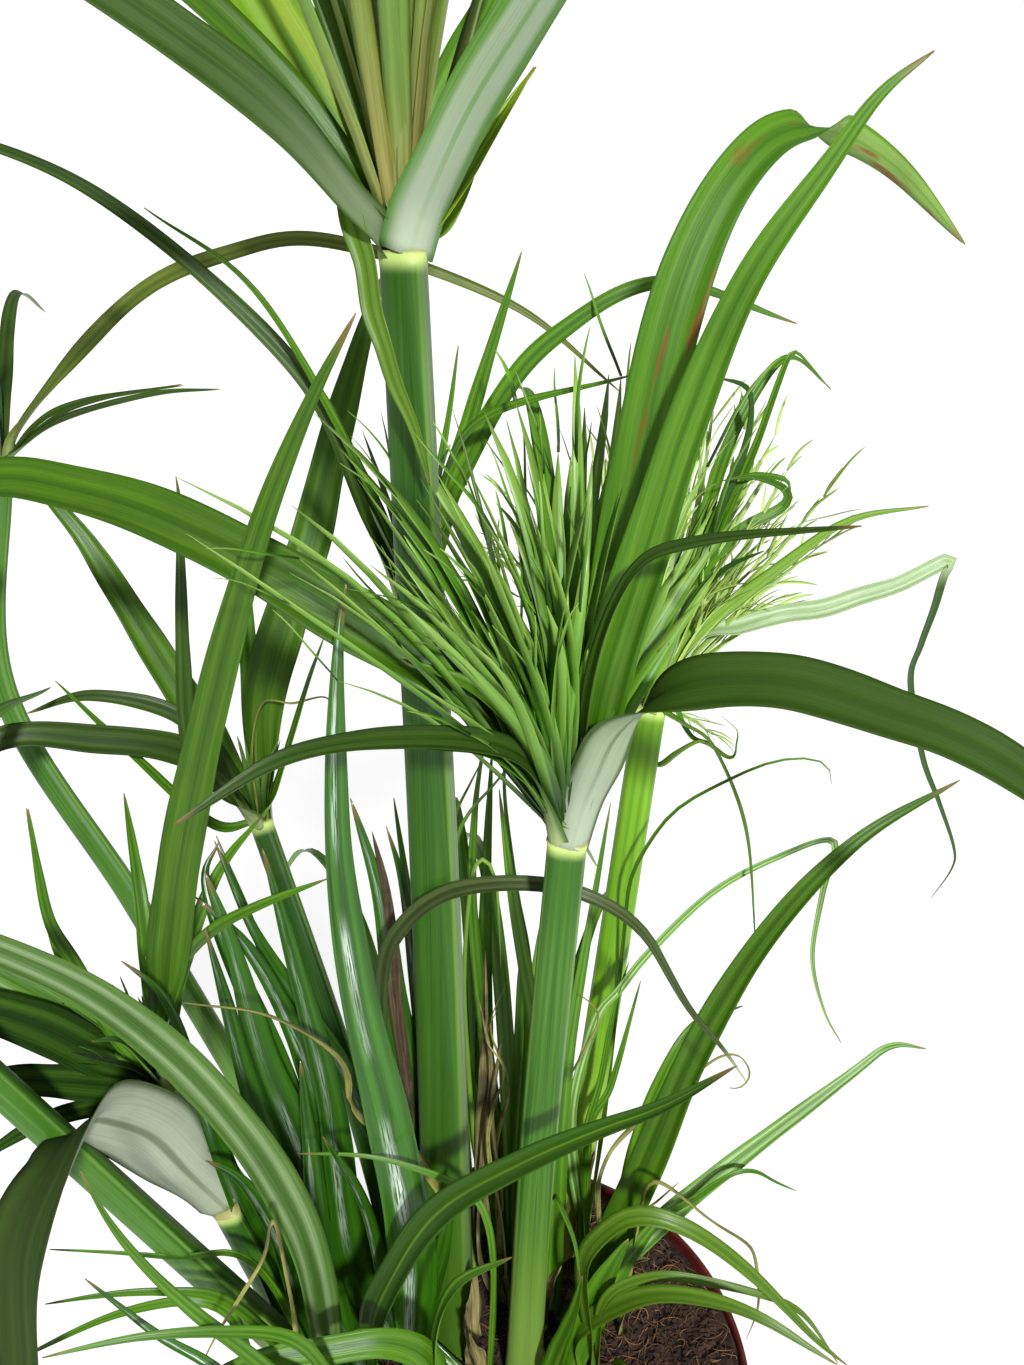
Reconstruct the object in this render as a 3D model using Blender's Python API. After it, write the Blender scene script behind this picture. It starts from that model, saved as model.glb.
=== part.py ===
"""Potted papyrus: a nursery pot of soil, stems topped by whorls of bracts and fine rays, and basal leaves.

The origin is the middle of the pot's foot, +Z is up, and the plant is seen from -Y. Lengths are millimetres
until they are put into a mesh. Heights of stems and leaves are counted from the plane of the pot's rim.
"""
import math

import bmesh
import bpy
from mathutils import Matrix, Vector
from mathutils.bvhtree import BVHTree

MM = 0.001
CREASE_ANGLE = 35.0        # edges that turn by more than this stay sharp
MERGE_DISTANCE = 0.01      # points nearer than this become one

# Pot
RIM_RADIUS = 70.0          # inside the mouth
FOOT_RADIUS = 52.0
POT_HEIGHT = 120.0
POT_WALL = 1.6
POT_FLOOR = 2.4
COLLAR_HEIGHT = 18.0       # upright band under the rim
COLLAR_STEP = 3.0
LEDGE_RISE = 1.0           # inside of the collar's ledge over its outside
LIP_ROUNDING = 0.4
FOOT_ROUNDING = 0.8
DRAIN_RADIUS = 4.5
DRAIN_RING = 36.0
DRAIN_COUNT = 6
DRAIN_SIDES = 16
POT_SIDES = 48

# Soil
SOIL_TOP = -6.0            # below the rim's plane
CONTACT_GAP = 0.3          # left between pieces that touch

# Stem: base (x, y), top (x, y, height), thickness at base and top, sideways bows (x, y) at even steps
STEMS = {
    "tall": ((-17, 12), (-19, 19, 302), (15.0, 9.0), [(1, 1)]),
    "front": ((4, 2), (13, -4, 186), (10.0, 8.2), [(-1, 1)]),
    "right": ((17, 40), (39, 66, 182), (9.5, 8.4), [(0, -3)]),
    "back_left": ((-34, 34), (-75, 79, 136), (7.6, 6.8), [(4, -4)]),
    "far_left": ((-47, 32), (-144, 105, 239), (7.6, 6.6), [(-9, 0), (-18, 0), (-28, 0)]),
    "low_left": ((-46, -6), (-125, -19, 147), (9.0, 7.4), [(0, 0)]),
    "young_left": ((-60, 6), (-75, 0, 65), (7.0, 6.6), [(0, 0)]),
    "hidden": ((-14, 34), (-23, 46, 220), (9.0, 7.5), [(0, 0)]),
    "dark_left": ((-57, 21), (-90, 10, 99), (8.0, 7.0), [(0, 0)]),
}
STEM_RINGS = 9
STEM_CORNER = 0.32         # how much of each side of the three-cornered stem is rounded off
CORNER_REACH = 1.1         # radius of the corners as a share of half the thickness
ROUNDED_REACH = 0.9        # radius beside a corner as a share of the corner's
FIRST_CORNER = -30         # bearing in degrees

# Umbel on a stem: number of rays, length, spread in degrees from upright
UMBELS = {
    "tall": (12, 118, 34),
    "front": (18, 100, 56),
    "right": (14, 74, 50),
    "back_left": (7, 40, 24),
    "far_left": (6, 48, 44),
    "low_left": (8, 62, 58),
    "hidden": (6, 46, 34),
    "dark_left": (6, 44, 48),
}
HUB_RADIUS = 2.2           # of the knob that the rays spring from
HUB_DETAIL = 2             # times that the faces of the knob's icosahedron are quartered, less one
RAY_THICKNESS = 1.0
RAY_TIP = 0.35
RAY_CLEARANCE = 1.5        # from a ray's middle line to any bract, stem or leaf
RAY_TURN = 9               # degrees by which a ray is moved on until it is clear
RAY_TRIES = 40
RAY_SHORTENING = 0.22      # the outermost ray is shorter than the innermost by this share
LEAN_AT_FOOT = 0.7         # lean of a ray's foot as a share of its full lean, which grows at each step
LEAN_PER_STEP = 0.12
CROWDING = 0.3             # how near rays come to each other, as a share of the way from the knob
KNOB_MARGIN = 1.6          # radii of the knob within which clearance isn't looked at
CHECK_POINTS = 16          # points looked at along a ray that is being placed
TAKEN_POINTS = 40          # points kept along a ray that has its place
SPINE_STEPS = 5
GOLDEN_ANGLE = 137.508

# Blade: where it springs from (a stem's top or a place on the soil), bearing of its foot, heading and roll
# in degrees, width, and its side view as (outwards, upwards) from the foot
BLADES = {
    "tall_bract_front": ("tall", -50, -50, -30, 9.4, [(15, 18), (39, 37), (62, 58), (95, 75), (125, 74)]),
    "tall_bract_left": ("tall", 175, 203, -65, 9,
                        [(6, 8), (12, 14), (20, 20), (34, 31), (60, 46), (95, 56), (135, 46)]),
    "tall_bract_back": ("tall", 125, 150, -50, 10, [(12, 18), (29, 42), (46, 62), (75, 84), (108, 80)]),
    "tall_bract_right": ("tall", 30, 5, 50, 4, [(5, 6), (8, 10), (11, 13), (14, 18), (18, 24), (23, 31)]),
    "front_bract_right": ("front", -30, -22, 35, 12.4,
                          [(7, 8), (10, 17), (13, 26), (17, 33), (22, 38), (30, 42), (41, 44), (61, 41),
                           (83, 34), (104, 21), (124, 2)]),
    "front_bract_left": ("front", 160, 167, -48, 13,
                         [(5, 13), (15, 27), (27, 37), (46, 46), (67, 57), (89, 66), (108, 70), (122, 71),
                          (145, 66), (168, 52)]),
    "front_bract_small": ("front", 215, 212, -35, 5, [(10, 21), (28, 32), (58, 38), (81, 31)]),
    "front_bract_folded": ("front", 82, 36, 40, 13,
                           [(9, 31), (12, 52), (17, 85), (22, 106), (29, 121), (38, 131), (48, 136),
                            (62, 136), (83, 129), (110, 114)]),
    "front_bract_pointed": ("front", 32, 5, 70, 11,
                            [(6, 33), (13, 62), (20, 89), (29, 113), (41, 131), (48, 141), (56, 147)]),
    "front_bract_narrow": ("front", -78, -35, 50, 4, [(7, 37), (14, 62), (25, 71), (53, 79)]),
    "right_bract_folded": ("right", -15, 8, 60, 6,
                           [(12, 19), (23, 22), (46, 26), (67, 32), (80, 38), (78, 24), (75, 2), (83, -23),
                            (99, -56), (100, -64), (95, -75)]),
    "right_bract_upright": ("right", 70, 35, 40, 5, [(9, 23), (18, 60), (28, 79), (41, 89), (59, 79)]),
    "right_bract_slender": ("right", -80, -5, -85, 5, [(7, 17), (33, 43), (47, 54), (65, 58)]),
    "back_left_bract_shiny": ("back_left", 130, 160, -40, 11,
                              [(12, 22), (24, 42), (32, 56), (41, 72), (49, 85), (59, 96), (66, 103)]),
    "back_left_bract_upright": ("back_left", 275, 228, -115, 6,
                                [(14, 21), (20, 36), (18, 63), (15, 87), (13, 109)]),
    "back_left_bract_brown": ("back_left", 172, 184, -45, 6.5, [(11, 24), (22, 38), (44, 44), (62, 39)]),
    "back_left_bract_level": ("back_left", 226, 206, -60, 9,
                              [(12, 21), (23, 31), (41, 38), (65, 44), (88, 30), (112, 14)]),
    "back_left_bract_tall": ("back_left", 50, 50, 45, 11,
                             [(5, 36), (16, 61), (28, 82), (37, 103), (46, 122), (54, 138), (62, 152)]),
    "far_left_bract_arched": ("far_left", -3, -3, 70, 5,
                              [(8, 11), (44, 44), (72, 56), (99, 59), (145, 44), (174, 22)]),
    "hidden_bract_left": ("hidden", 170, 170, -65, 4, [(9, 18), (24, 54), (68, 91), (112, 104), (130, 98)]),
    "hidden_bract_spear": ("hidden", 60, 15, 70, 6, [(7, 18), (17, 50), (27, 79)]),
    "hidden_bract_arched": ("hidden", -15, 5, 75, 5, [(6, 18), (21, 48), (35, 63), (57, 73), (88, 64)]),
    "dark_left_bract_tall": ("dark_left", -42, -22, 115, 12,
                             [(6, 31), (14, 64), (23, 93), (37, 131), (49, 159), (61, 181), (71, 196)]),
    "dark_left_bract_wide": ("dark_left", 140, 172, -50, 13,
                             [(6, 9), (12, 17), (21, 27), (30, 35), (41, 42), (60, 48), (84, 46)]),
    "dark_left_bract_low": ("dark_left", 205, 190, -45, 11,
                            [(7, 3), (14, 7), (22, 13), (30, 19), (41, 25), (60, 28), (84, 20)]),
    "leaf_striped": ((-44.5, -20), 188, 188, -45, 10.5,
                     [(2, 30), (4, 78), (9, 104), (17, 127), (28, 149), (41, 167), (55, 179), (69, 187),
                      (84, 186), (104, 168)]),
    "leaf_glossy": ((-29, -5), 155, 155, -45, 13,
                    [(-4, 60), (1, 110), (6, 141), (9, 178), (8, 207), (5, 236), (2, 250)]),
    "leaf_glossy_short": ((-44, 16), 165, 165, -45, 11, [(10, 30), (17, 89), (33, 154), (28, 172)]),
    "leaf_forward": ((-34, -18), -4, -4, 40, 9,
                     [(-2, 44), (6, 72), (18, 98), (37, 117), (55, 126), (75, 135)]),
    "leaf_long": ((17, 12), 20, 20, 40, 11, [(4, 8), (22, 58), (38, 106), (56, 139), (80, 162), (110, 174)]),
    "leaf_pale": ((28, 26), 22, 22, 40, 9, [(5, 5), (28, 27), (87, 59), (102, 66), (118, 59)]),
    "leaf_dark_arch": ((-34, 10), -5, -5, 50, 6,
                       [(1, 60), (2, 120), (4, 147), (8, 156), (14, 164), (24, 170), (42, 172), (56, 168),
                        (66, 160), (72, 149), (79, 136), (87, 126), (94, 115)]),
    "leaf_kinked": ((26, 35), 16, 16, 100, 4,
                    [(-8, 64), (-2, 103), (5, 114), (14, 126), (31, 142), (50, 150), (67, 152), (66, 134),
                     (66, 111), (73, 89), (81, 74)]),
    "leaf_narrow": ((-40, 26), 158, 158, -40, 6, [(14, 57), (30, 127), (40, 162)]),
}
BLADE_STEPS = 11
BLADE_FOLD = 0.2           # depth of the V, as a share of the width
BLADE_THICKNESS = 1.2
BLADE_FOOT_WIDTH = 2.0
BLADE_TIP_WIDTH = 0.5
BLADE_OPENING = 0.22       # share of the length over which a blade widens from its foot
BLADE_CLOSING = 0.45       # share of the length over which it narrows to its tip
BLADE_ROUNDING = 0.75      # power of the narrowing; at 1 the sides of the tip are straight
BRACT_RING = 3.5           # bracts spring from a ring of this radius on the stem's top
BRACT_LIFT = 0.4

# Blades that leave their own upright plane: width, the way the upper face looks, points as (x, y, height)
FREE_BLADES = {
    "young_left_bract": (20.0, (-0.5, -0.6, 0.6), [
        (-76, -2, 66), (-82, -5, 82), (-88, -8, 100), (-95, -13, 112), (-97, -20, 119), (-98, -33, 120),
        (-103, -45, 108), (-105, -52, 81), (-107, -58, 50)]),
    "tall_bract_bent": (5.0, (-0.2, -1.0, 0.3), [
        (-21, 15.5, 302.6), (-26, 12, 309), (-30, 10, 311), (-29, 9, 302), (-26, 8, 292), (-23, 8, 286),
        (-21, 7, 279), (-18, 6, 272), (-15, 5, 260)]),
}

# Thin blades that grow out of an umbel's or a tuft's own body: heading, width, side view
THIN_BRACTS = {
    "tall": [(50, 5, [(9, 22), (24, 42), (70, 74)])],
    "right": [(20, 4, [(7, 24), (19, 58), (31, 61), (38, 57), (29, 47)]),
              (-42, 3, [(13, -2), (21, -5), (33, -26), (40, -63)])],
    "back_left": [(202, 4, [(14, 2), (33, 30), (49, 56)])],
    "far_left": [(-10, 2.5, [(21, 16), (58, 24)]), (-24, 3, [(24, 14), (58, 24), (80, 27)]),
                 (100, 3, [(20, 20), (52, 40), (90, 30)]), (200, 4, [(14, 22), (40, 36), (66, 20)])],
    "low_left": [(90, 6, [(14, 22), (44, 48), (86, 40)]), (170, 7, [(16, 24), (50, 44), (88, 30)]),
                 (250, 6, [(12, 20), (38, 34), (66, 12)])],
    "hidden": [(178, 2.5, [(8, 26), (30, 70), (53, 88)]), (-24, 4, [(8, 27), (19, 46), (53, 58)]),
               (38, 2, [(11, 40), (15, 59)]), (95, 5, [(12, 30), (38, 66), (78, 60)])],
    "dark_left": [(62, 5, [(8, 24), (28, 48), (48, 56)]), (-104, 3.5, [(12, 26), (22, 36)]),
                  (210, 7, [(13, 4), (34, 14), (60, 10)]), (108, 5, [(16, 20), (34, 40), (40, 66)])],
}

# Low tufts: place of the knob on the soil, and its blades as heading, width, side view
TUFTS = {
    "left": ((-60, -23), [
        (186, 4, [(6, 34), (11, 66), (34, 68), (66, 52)]), (196, 4.5, [(10, 30), (30, 48), (64, 52)]),
        (214, 5, [(8, 26), (26, 40), (50, 26)])]),
    "front_left": ((-44, -40), [
        (204, 6, [(-3, 50), (8, 68), (30, 80), (56, 76)]), (190, 5, [(20, 66), (34, 88), (46, 110)]),
        (240, 5, [(8, 34), (26, 50), (46, 30)])]),
    "front": ((-16, -28), [
        (-20, 6, [(-3, 50), (3, 80), (18, 98)]), (192, 8, [(2, 46), (12, 62), (27, 64), (52, 63), (92, 32)]),
        (250, 5, [(6, 34), (20, 56), (44, 40)])]),
    "right": ((26, -4), [
        (-10, 5, [(-4, 49), (4, 66), (14, 76), (29, 71), (46, 55), (66, 29)]),
        (-24, 5, [(-6, 19), (1, 35), (16, 51), (38, 56), (62, 48)]),
        (6, 3.4, [(3, 34), (14, 48), (28, 50), (45, 42), (66, 21)]),
        (-62, 3, [(5, 14), (11, 26), (39, 37)])]),
    "back": ((2, 28), [
        (0, 5, [(4, 116), (0, 155), (-3, 185), (-2, 201)]), (128, 5, [(18, 120), (18, 165), (12, 196)]),
        (40, 4, [(14, 60), (20, 112), (22, 163)]), (72, 6, [(10, 70), (30, 120), (62, 128), (96, 96)]),
        (102, 6, [(12, 80), (36, 128), (74, 124), (104, 84)]), (88, 5, [(22, 50), (50, 76), (84, 66)])]),
}

# Colour, and how rough the surface is
PLASTIC = (0.16, 0.03, 0.025), 0.5
PEAT = (0.06, 0.03, 0.025), 0.95
STEM = (0.07, 0.26, 0.04), 0.45
LEAF = (0.08, 0.24, 0.03), 0.4
RAY = (0.15, 0.34, 0.05), 0.5


def main():
    clear_scene()
    make_pot()
    make_soil()
    for name in STEMS:
        make_stem(name)
    for name, blade in BLADES.items():
        make_blade(name, blade)
    for name, (width, facing, points) in FREE_BLADES.items():
        make_free_blade(name, width, facing, points)
    for name in TUFTS:
        make_tuft(name)
    grown = all_faces()
    for name in UMBELS:
        make_umbel(name, grown)


def clear_scene():
    for obj in list(bpy.data.objects):
        bpy.data.objects.remove(obj, do_unlink=True)


def in_metres(x, y, height):
    """A point given by x, y and its height over the rim's plane, in the model's metres."""
    return Vector((x, y, height + POT_HEIGHT)) * MM


def finish(name, bm, surface, smooth_angle=None):
    """Turn a bmesh into a named object with its own material; a surface is its colour and roughness."""
    colour, roughness = surface
    mesh = bpy.data.meshes.new(name)
    bm.to_mesh(mesh)
    bm.free()
    if smooth_angle is not None:
        mesh.shade_smooth()
        mesh.set_sharp_from_angle(angle=math.radians(smooth_angle))
    material = bpy.data.materials.new(name)
    material.use_nodes = True
    shader = material.node_tree.nodes["Principled BSDF"]
    shader.inputs["Base Color"].default_value = (*colour, 1.0)
    shader.inputs["Roughness"].default_value = roughness
    shader.inputs["Metallic"].default_value = 0.0
    mesh.materials.append(material)
    obj = bpy.data.objects.new(name, mesh)
    bpy.context.collection.objects.link(obj)
    return obj


def turned(outline, sides):
    """Spin an outline of (radius, z) points about the Z axis; its ends lie on the axis."""
    bm = bmesh.new()
    verts = [bm.verts.new((radius * MM, 0.0, z * MM)) for radius, z in outline]
    edges = [bm.edges.new(pair) for pair in zip(verts, verts[1:])]
    bmesh.ops.spin(bm, geom=verts + edges, cent=(0, 0, 0), axis=(0, 0, 1), angle=math.tau,
                   steps=sides, use_merge=False)
    bmesh.ops.remove_doubles(bm, verts=bm.verts, dist=MERGE_DISTANCE * MM)
    bmesh.ops.recalc_face_normals(bm, faces=bm.faces)
    return bm


def inner_radius(z):
    """Radius of the pot's inside at height z over the foot, below the collar."""
    return FOOT_RADIUS - POT_WALL + (RIM_RADIUS - COLLAR_STEP - FOOT_RADIUS + POT_WALL) * z / POT_HEIGHT


def make_pot():
    ledge = POT_HEIGHT - COLLAR_HEIGHT
    under = inner_radius(ledge)
    outside = RIM_RADIUS + POT_WALL
    outline = [
        (0, POT_FLOOR), (inner_radius(POT_FLOOR), POT_FLOOR), (under, ledge + LEDGE_RISE),
        (RIM_RADIUS - LIP_ROUNDING, ledge + COLLAR_STEP), (RIM_RADIUS, POT_HEIGHT - LIP_ROUNDING),
        (RIM_RADIUS + LIP_ROUNDING, POT_HEIGHT), (outside - LIP_ROUNDING, POT_HEIGHT),
        (outside, POT_HEIGHT - LIP_ROUNDING), (outside - LIP_ROUNDING, ledge),
        (under + POT_WALL, ledge - LIP_ROUNDING), (FOOT_RADIUS, FOOT_ROUNDING),
        (FOOT_RADIUS - FOOT_ROUNDING, 0), (0, 0),
    ]
    pot = finish("pot", turned(outline, POT_SIDES), PLASTIC, smooth_angle=CREASE_ANGLE)
    cutter = bmesh.new()
    for index in range(DRAIN_COUNT):
        turn = math.tau * index / DRAIN_COUNT
        place = Vector((DRAIN_RING * math.cos(turn), DRAIN_RING * math.sin(turn), POT_FLOOR / 2)) * MM
        bmesh.ops.create_cone(cutter, cap_ends=True, segments=DRAIN_SIDES, radius1=DRAIN_RADIUS * MM,
                              radius2=DRAIN_RADIUS * MM, depth=3 * POT_FLOOR * MM,
                              matrix=Matrix.Translation(place))
    drain = finish("drain_cutter", cutter, PLASTIC)
    drain.hide_render = True
    drain.display_type = "WIRE"
    cut = pot.modifiers.new("drain holes", "BOOLEAN")
    cut.operation = "DIFFERENCE"
    cut.object = drain


def make_soil():
    ledge = POT_HEIGHT - COLLAR_HEIGHT
    bottom = POT_FLOOR + CONTACT_GAP
    top = POT_HEIGHT + SOIL_TOP
    edge = RIM_RADIUS - LIP_ROUNDING - 2 * CONTACT_GAP
    outline = [
        (0, top), (edge, top), (edge, ledge + COLLAR_STEP + LEDGE_RISE),
        (inner_radius(ledge) - 2 * CONTACT_GAP, ledge + LEDGE_RISE),
        (inner_radius(bottom) - 2 * CONTACT_GAP, bottom), (0, bottom),
    ]
    finish("soil", turned(outline, POT_SIDES), PEAT, smooth_angle=CREASE_ANGLE)


def sweep(bm, rings):
    """Extrude the first ring of points through all the others; the two ends are closed by faces."""
    foot = [bm.verts.new(point) for point in rings[0]]
    loop = bm.faces.new(foot)
    for ring in rings[1:]:
        loop = bmesh.ops.extrude_discrete_faces(bm, faces=[loop])["faces"][0]
        for vert, point in zip(loop.verts, ring):
            vert.co = point
    bm.faces.new(foot[::-1])
    bmesh.ops.recalc_face_normals(bm, faces=bm.faces)


def smooth_path(points, count):
    """Points on a Catmull-Rom curve through the given ones, spaced by the straight lengths between those."""
    nodes = [2 * points[0] - points[1], *points, 2 * points[-1] - points[-2]]
    spans = len(points) - 1
    lengths = [(b - a).length for a, b in zip(points, points[1:])]
    total = sum(lengths)
    path = []
    for step in range(count):
        run = total * step / (count - 1)
        span = 0
        while span < spans - 1 and run > lengths[span]:
            run -= lengths[span]
            span += 1
        t = min(run / lengths[span], 1.0)
        p0, p1, p2, p3 = nodes[span:span + 4]
        path.append(0.5 * (2 * p1 + (p2 - p0) * t + (2 * p0 - 5 * p1 + 4 * p2 - p3) * t * t
                           + (3 * p1 - 3 * p2 + p3 - p0) * t * t * t))
    return path


def tangents(path):
    ends = [path[0], *path, path[-1]]
    return [(after - before).normalized() for before, after in zip(ends, ends[2:])]


def bearing(degrees, radius=1.0):
    """Level vector of the given length; 0 degrees is +X and 90 degrees is +Y."""
    return Vector((math.cos(math.radians(degrees)), math.sin(math.radians(degrees)), 0.0)) * radius


def stem_top(name):
    x, y, height = STEMS[name][1]
    return in_metres(x, y, height)


def make_stem(name):
    """A three-cornered stem with rounded corners, from the soil to the flat top that carries the umbel."""
    base, _, (base_width, top_width), bows = STEMS[name]
    foot = in_metres(*base, SOIL_TOP + CONTACT_GAP)
    top = stem_top(name)
    between = [foot.lerp(top, (number + 1) / (len(bows) + 1)) + Vector((*bow, 0)) * MM
               for number, bow in enumerate(bows)]
    path = smooth_path([foot, *between, top], STEM_RINGS)
    rings = []
    for step, point in enumerate(path):
        share = step / (STEM_RINGS - 1)
        radius = (base_width + (top_width - base_width) * share) / 2 * CORNER_REACH * MM
        ring = []
        for corner in range(3):
            for side in (-1, 0, 1):
                turn = FIRST_CORNER + 120 * corner + 120 * STEM_CORNER * side
                reach = radius * (1.0 if side == 0 else ROUNDED_REACH)
                ring.append(point + bearing(turn, reach))
        rings.append(ring)
    bm = bmesh.new()
    sweep(bm, rings)
    finish("stem_" + name, bm, STEM, smooth_angle=CREASE_ANGLE)


def side_view(centre, heading, profile):
    """The centre, and after it the points of a profile in the heading's upright plane."""
    outwards = bearing(heading)
    return [centre] + [centre + outwards * out * MM + Vector((0, 0, up * MM)) for out, up in profile]


def blade_path(blade):
    """The blade's middle line, from its foot to its tip, and its level sideways direction."""
    root, foot_bearing, heading, _, _, profile = blade
    outwards = bearing(heading)
    if isinstance(root, str):
        start = stem_top(root) + Vector((0, 0, BRACT_LIFT * MM))
        foot = start + bearing(foot_bearing, BRACT_RING * MM)
    else:
        start = in_metres(*root, SOIL_TOP)
        foot = start + Vector((0, 0, CONTACT_GAP * MM))
    return [foot, *side_view(start, heading, profile)[1:]], Vector((-outwards.y, outwards.x, 0.0))


def blade_width(share, width):
    """Narrow at the foot, full in the middle, drawn to a point at the tip."""
    opening = min(1.0, share / BLADE_OPENING)
    closing = min(1.0, (1.0 - share) / BLADE_CLOSING)
    full = BLADE_FOOT_WIDTH + (width - BLADE_FOOT_WIDTH) * opening
    return max(BLADE_TIP_WIDTH, full * closing ** BLADE_ROUNDING)


def sweep_blade(name, places, sideways, roll, width):
    """A shallow V, closed to a thin four-cornered section, carried along the blade's middle line."""
    path = smooth_path(places, BLADE_STEPS)
    rings = []
    for step, (point, along) in enumerate(zip(path, tangents(path))):
        across = (sideways - sideways.dot(along) * along).normalized()
        upwards = along.cross(across)
        turn = math.radians(roll)
        side = math.cos(turn) * across + math.sin(turn) * upwards
        normal = math.cos(turn) * upwards - math.sin(turn) * across
        half = blade_width(step / (BLADE_STEPS - 1), width) / 2 * MM
        edge = normal * half * 2 * BLADE_FOLD
        thick = normal * min(BLADE_THICKNESS * MM, half) / 2
        rings.append([point - side * half + edge, point - thick, point + side * half + edge, point + thick])
    bm = bmesh.new()
    sweep(bm, rings)
    finish(name, bm, LEAF)


def make_blade(name, blade):
    places, sideways = blade_path(blade)
    sweep_blade(name, places, sideways, blade[3], blade[4])


def make_free_blade(name, width, facing, points):
    places = [in_metres(*point) for point in points]
    run = (places[-1] - places[0]).normalized()
    sideways = Vector(facing).cross(run).normalized()
    sweep_blade(name, places, sideways, 0, width)


def branching(name, centre, spines, surface):
    """One body: a knob from whose faces tapering branches are drawn out along the given spines.

    A spine is (thickness, list of points that starts at the knob's middle).
    """
    bm = bmesh.new()
    bmesh.ops.create_icosphere(bm, subdivisions=HUB_DETAIL, radius=HUB_RADIUS * MM,
                              matrix=Matrix.Translation(centre))
    free = list(bm.faces)
    for thickness, places in spines:
        path = smooth_path(places, SPINE_STEPS)
        start = (path[1] - path[0]).normalized()
        face = max(free, key=lambda candidate: candidate.normal.dot(start))
        free.remove(face)
        middle = face.calc_center_median()
        spokes = [(vert.co - middle).normalized() for vert in face.verts]
        before = face.normal.copy()
        for step in range(1, len(path)):
            along = (path[step] - path[step - 1]).normalized()
            turn = before.rotation_difference(along)
            before = along
            spokes = [turn @ spoke for spoke in spokes]
            share = step / (len(path) - 1)
            radius = (thickness * (1 - share) + RAY_TIP * share) / 2 * MM
            face = bmesh.ops.extrude_discrete_faces(bm, faces=[face])["faces"][0]
            for vert, spoke in zip(face.verts, spokes):
                vert.co = path[step] + spoke * radius
    finish(name, bm, surface)


def ray_places(centre, heading, length, lean):
    """A ray that starts steep and bends outwards along its length."""
    outwards = bearing(heading)
    places = [centre]
    for step in range(1, SPINE_STEPS):
        tilt = math.radians(lean * (LEAN_AT_FOOT + LEAN_PER_STEP * step))
        run = length / (SPINE_STEPS - 1) * MM
        places.append(places[-1] + (outwards * math.sin(tilt) + Vector((0, 0, math.cos(tilt)))) * run)
    return places


def all_faces():
    """A search tree of everything made so far that is part of the plant."""
    verts, faces = [], []
    for obj in bpy.data.objects:
        if not obj.hide_render:
            start = len(verts)
            verts.extend(vert.co for vert in obj.data.vertices)
            faces.extend([start + index for index in face.vertices] for face in obj.data.polygons)
    return BVHTree.FromPolygons(verts, faces)


def is_clear(places, grown, taken):
    """True where a spine beyond its knob keeps its distance from the plant and from its own neighbours."""
    for point in smooth_path(places, CHECK_POINTS):
        away = (point - places[0]).length
        if away < KNOB_MARGIN * HUB_RADIUS * MM:
            continue
        if grown.find_nearest(point)[3] < RAY_CLEARANCE * MM:
            return False
        if any((point - other).length < min(RAY_CLEARANCE * MM, CROWDING * away) for other in taken):
            return False
    return True


def ray_spines(name, centre, grown, taken):
    """Rays set round by the golden angle, outer ones shorter; each is moved on until it is clear."""
    count, reach, spread = UMBELS[name]
    spines = []
    for index in range(count):
        share = (index + 0.5) / count
        length = reach * (1.0 - RAY_SHORTENING * share)
        for turns in range(RAY_TRIES):
            heading = GOLDEN_ANGLE * index + RAY_TURN * turns
            places = ray_places(centre, heading, length, spread * math.sqrt(share))
            if is_clear(places, grown, taken):
                spines.append((RAY_THICKNESS, places))
                taken.extend(smooth_path(places, TAKEN_POINTS))
                break
    return spines


def make_umbel(name, grown):
    centre = stem_top(name) + Vector((0, 0, HUB_RADIUS + CONTACT_GAP)) * MM
    spines = []
    taken = []
    for heading, width, profile in THIN_BRACTS.get(name, []):
        places = side_view(centre, heading, profile)
        spines.append((width / 2, places))
        taken.extend(smooth_path(places, TAKEN_POINTS))
    spines.extend(ray_spines(name, centre, grown, taken))
    branching("umbel_" + name, centre, spines, RAY)


def make_tuft(name):
    """Low leaves that rise from one knob and rest on the soil by it."""
    (x, y), blades = TUFTS[name]
    centre = in_metres(x, y, SOIL_TOP + HUB_RADIUS + CONTACT_GAP)
    spines = [(width / 2, side_view(centre, heading, profile)) for heading, width, profile in blades]
    branching("tuft_" + name, centre, spines, LEAF)


main()
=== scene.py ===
"""Looks of the potted papyrus: stems, bracts, umbels and basal leaves in soil in a dark red nursery pot.

Lengths are millimetres until they are put into a mesh. Heights of the plant are counted from the plane of
the pot's rim, which is POT_HEIGHT over the floor. The plant is seen from -Y.

A side view lists points of a leaf as (distance out from where it springs, height over it), in the upright
plane of its heading. Headings and bearings are degrees from +X towards +Y. A roll turns the blade about its
own run, in degrees.
"""
import math

import bpy
import numpy as np
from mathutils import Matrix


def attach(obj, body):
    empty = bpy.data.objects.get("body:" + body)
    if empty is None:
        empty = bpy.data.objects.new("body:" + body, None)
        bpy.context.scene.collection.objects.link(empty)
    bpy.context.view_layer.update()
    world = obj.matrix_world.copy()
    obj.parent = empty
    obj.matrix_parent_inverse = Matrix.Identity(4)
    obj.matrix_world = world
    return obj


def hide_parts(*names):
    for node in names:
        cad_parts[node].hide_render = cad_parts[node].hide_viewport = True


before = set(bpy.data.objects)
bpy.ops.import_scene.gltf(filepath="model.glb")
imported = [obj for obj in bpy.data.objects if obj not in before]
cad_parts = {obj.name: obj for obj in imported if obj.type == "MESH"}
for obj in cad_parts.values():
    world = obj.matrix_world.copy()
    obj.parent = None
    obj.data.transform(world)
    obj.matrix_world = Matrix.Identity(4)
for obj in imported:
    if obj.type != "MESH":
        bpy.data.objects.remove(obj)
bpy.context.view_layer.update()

MM = 0.001
POT_HEIGHT = 120.0
RIM_RADIUS = 70.0
FOOT_RADIUS = 52.0
POT_SLOPE = (RIM_RADIUS - FOOT_RADIUS) / POT_HEIGHT
POT_WALL = 1.6
POT_FLOOR = 2.4
COLLAR_HEIGHT = 18.0
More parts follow.
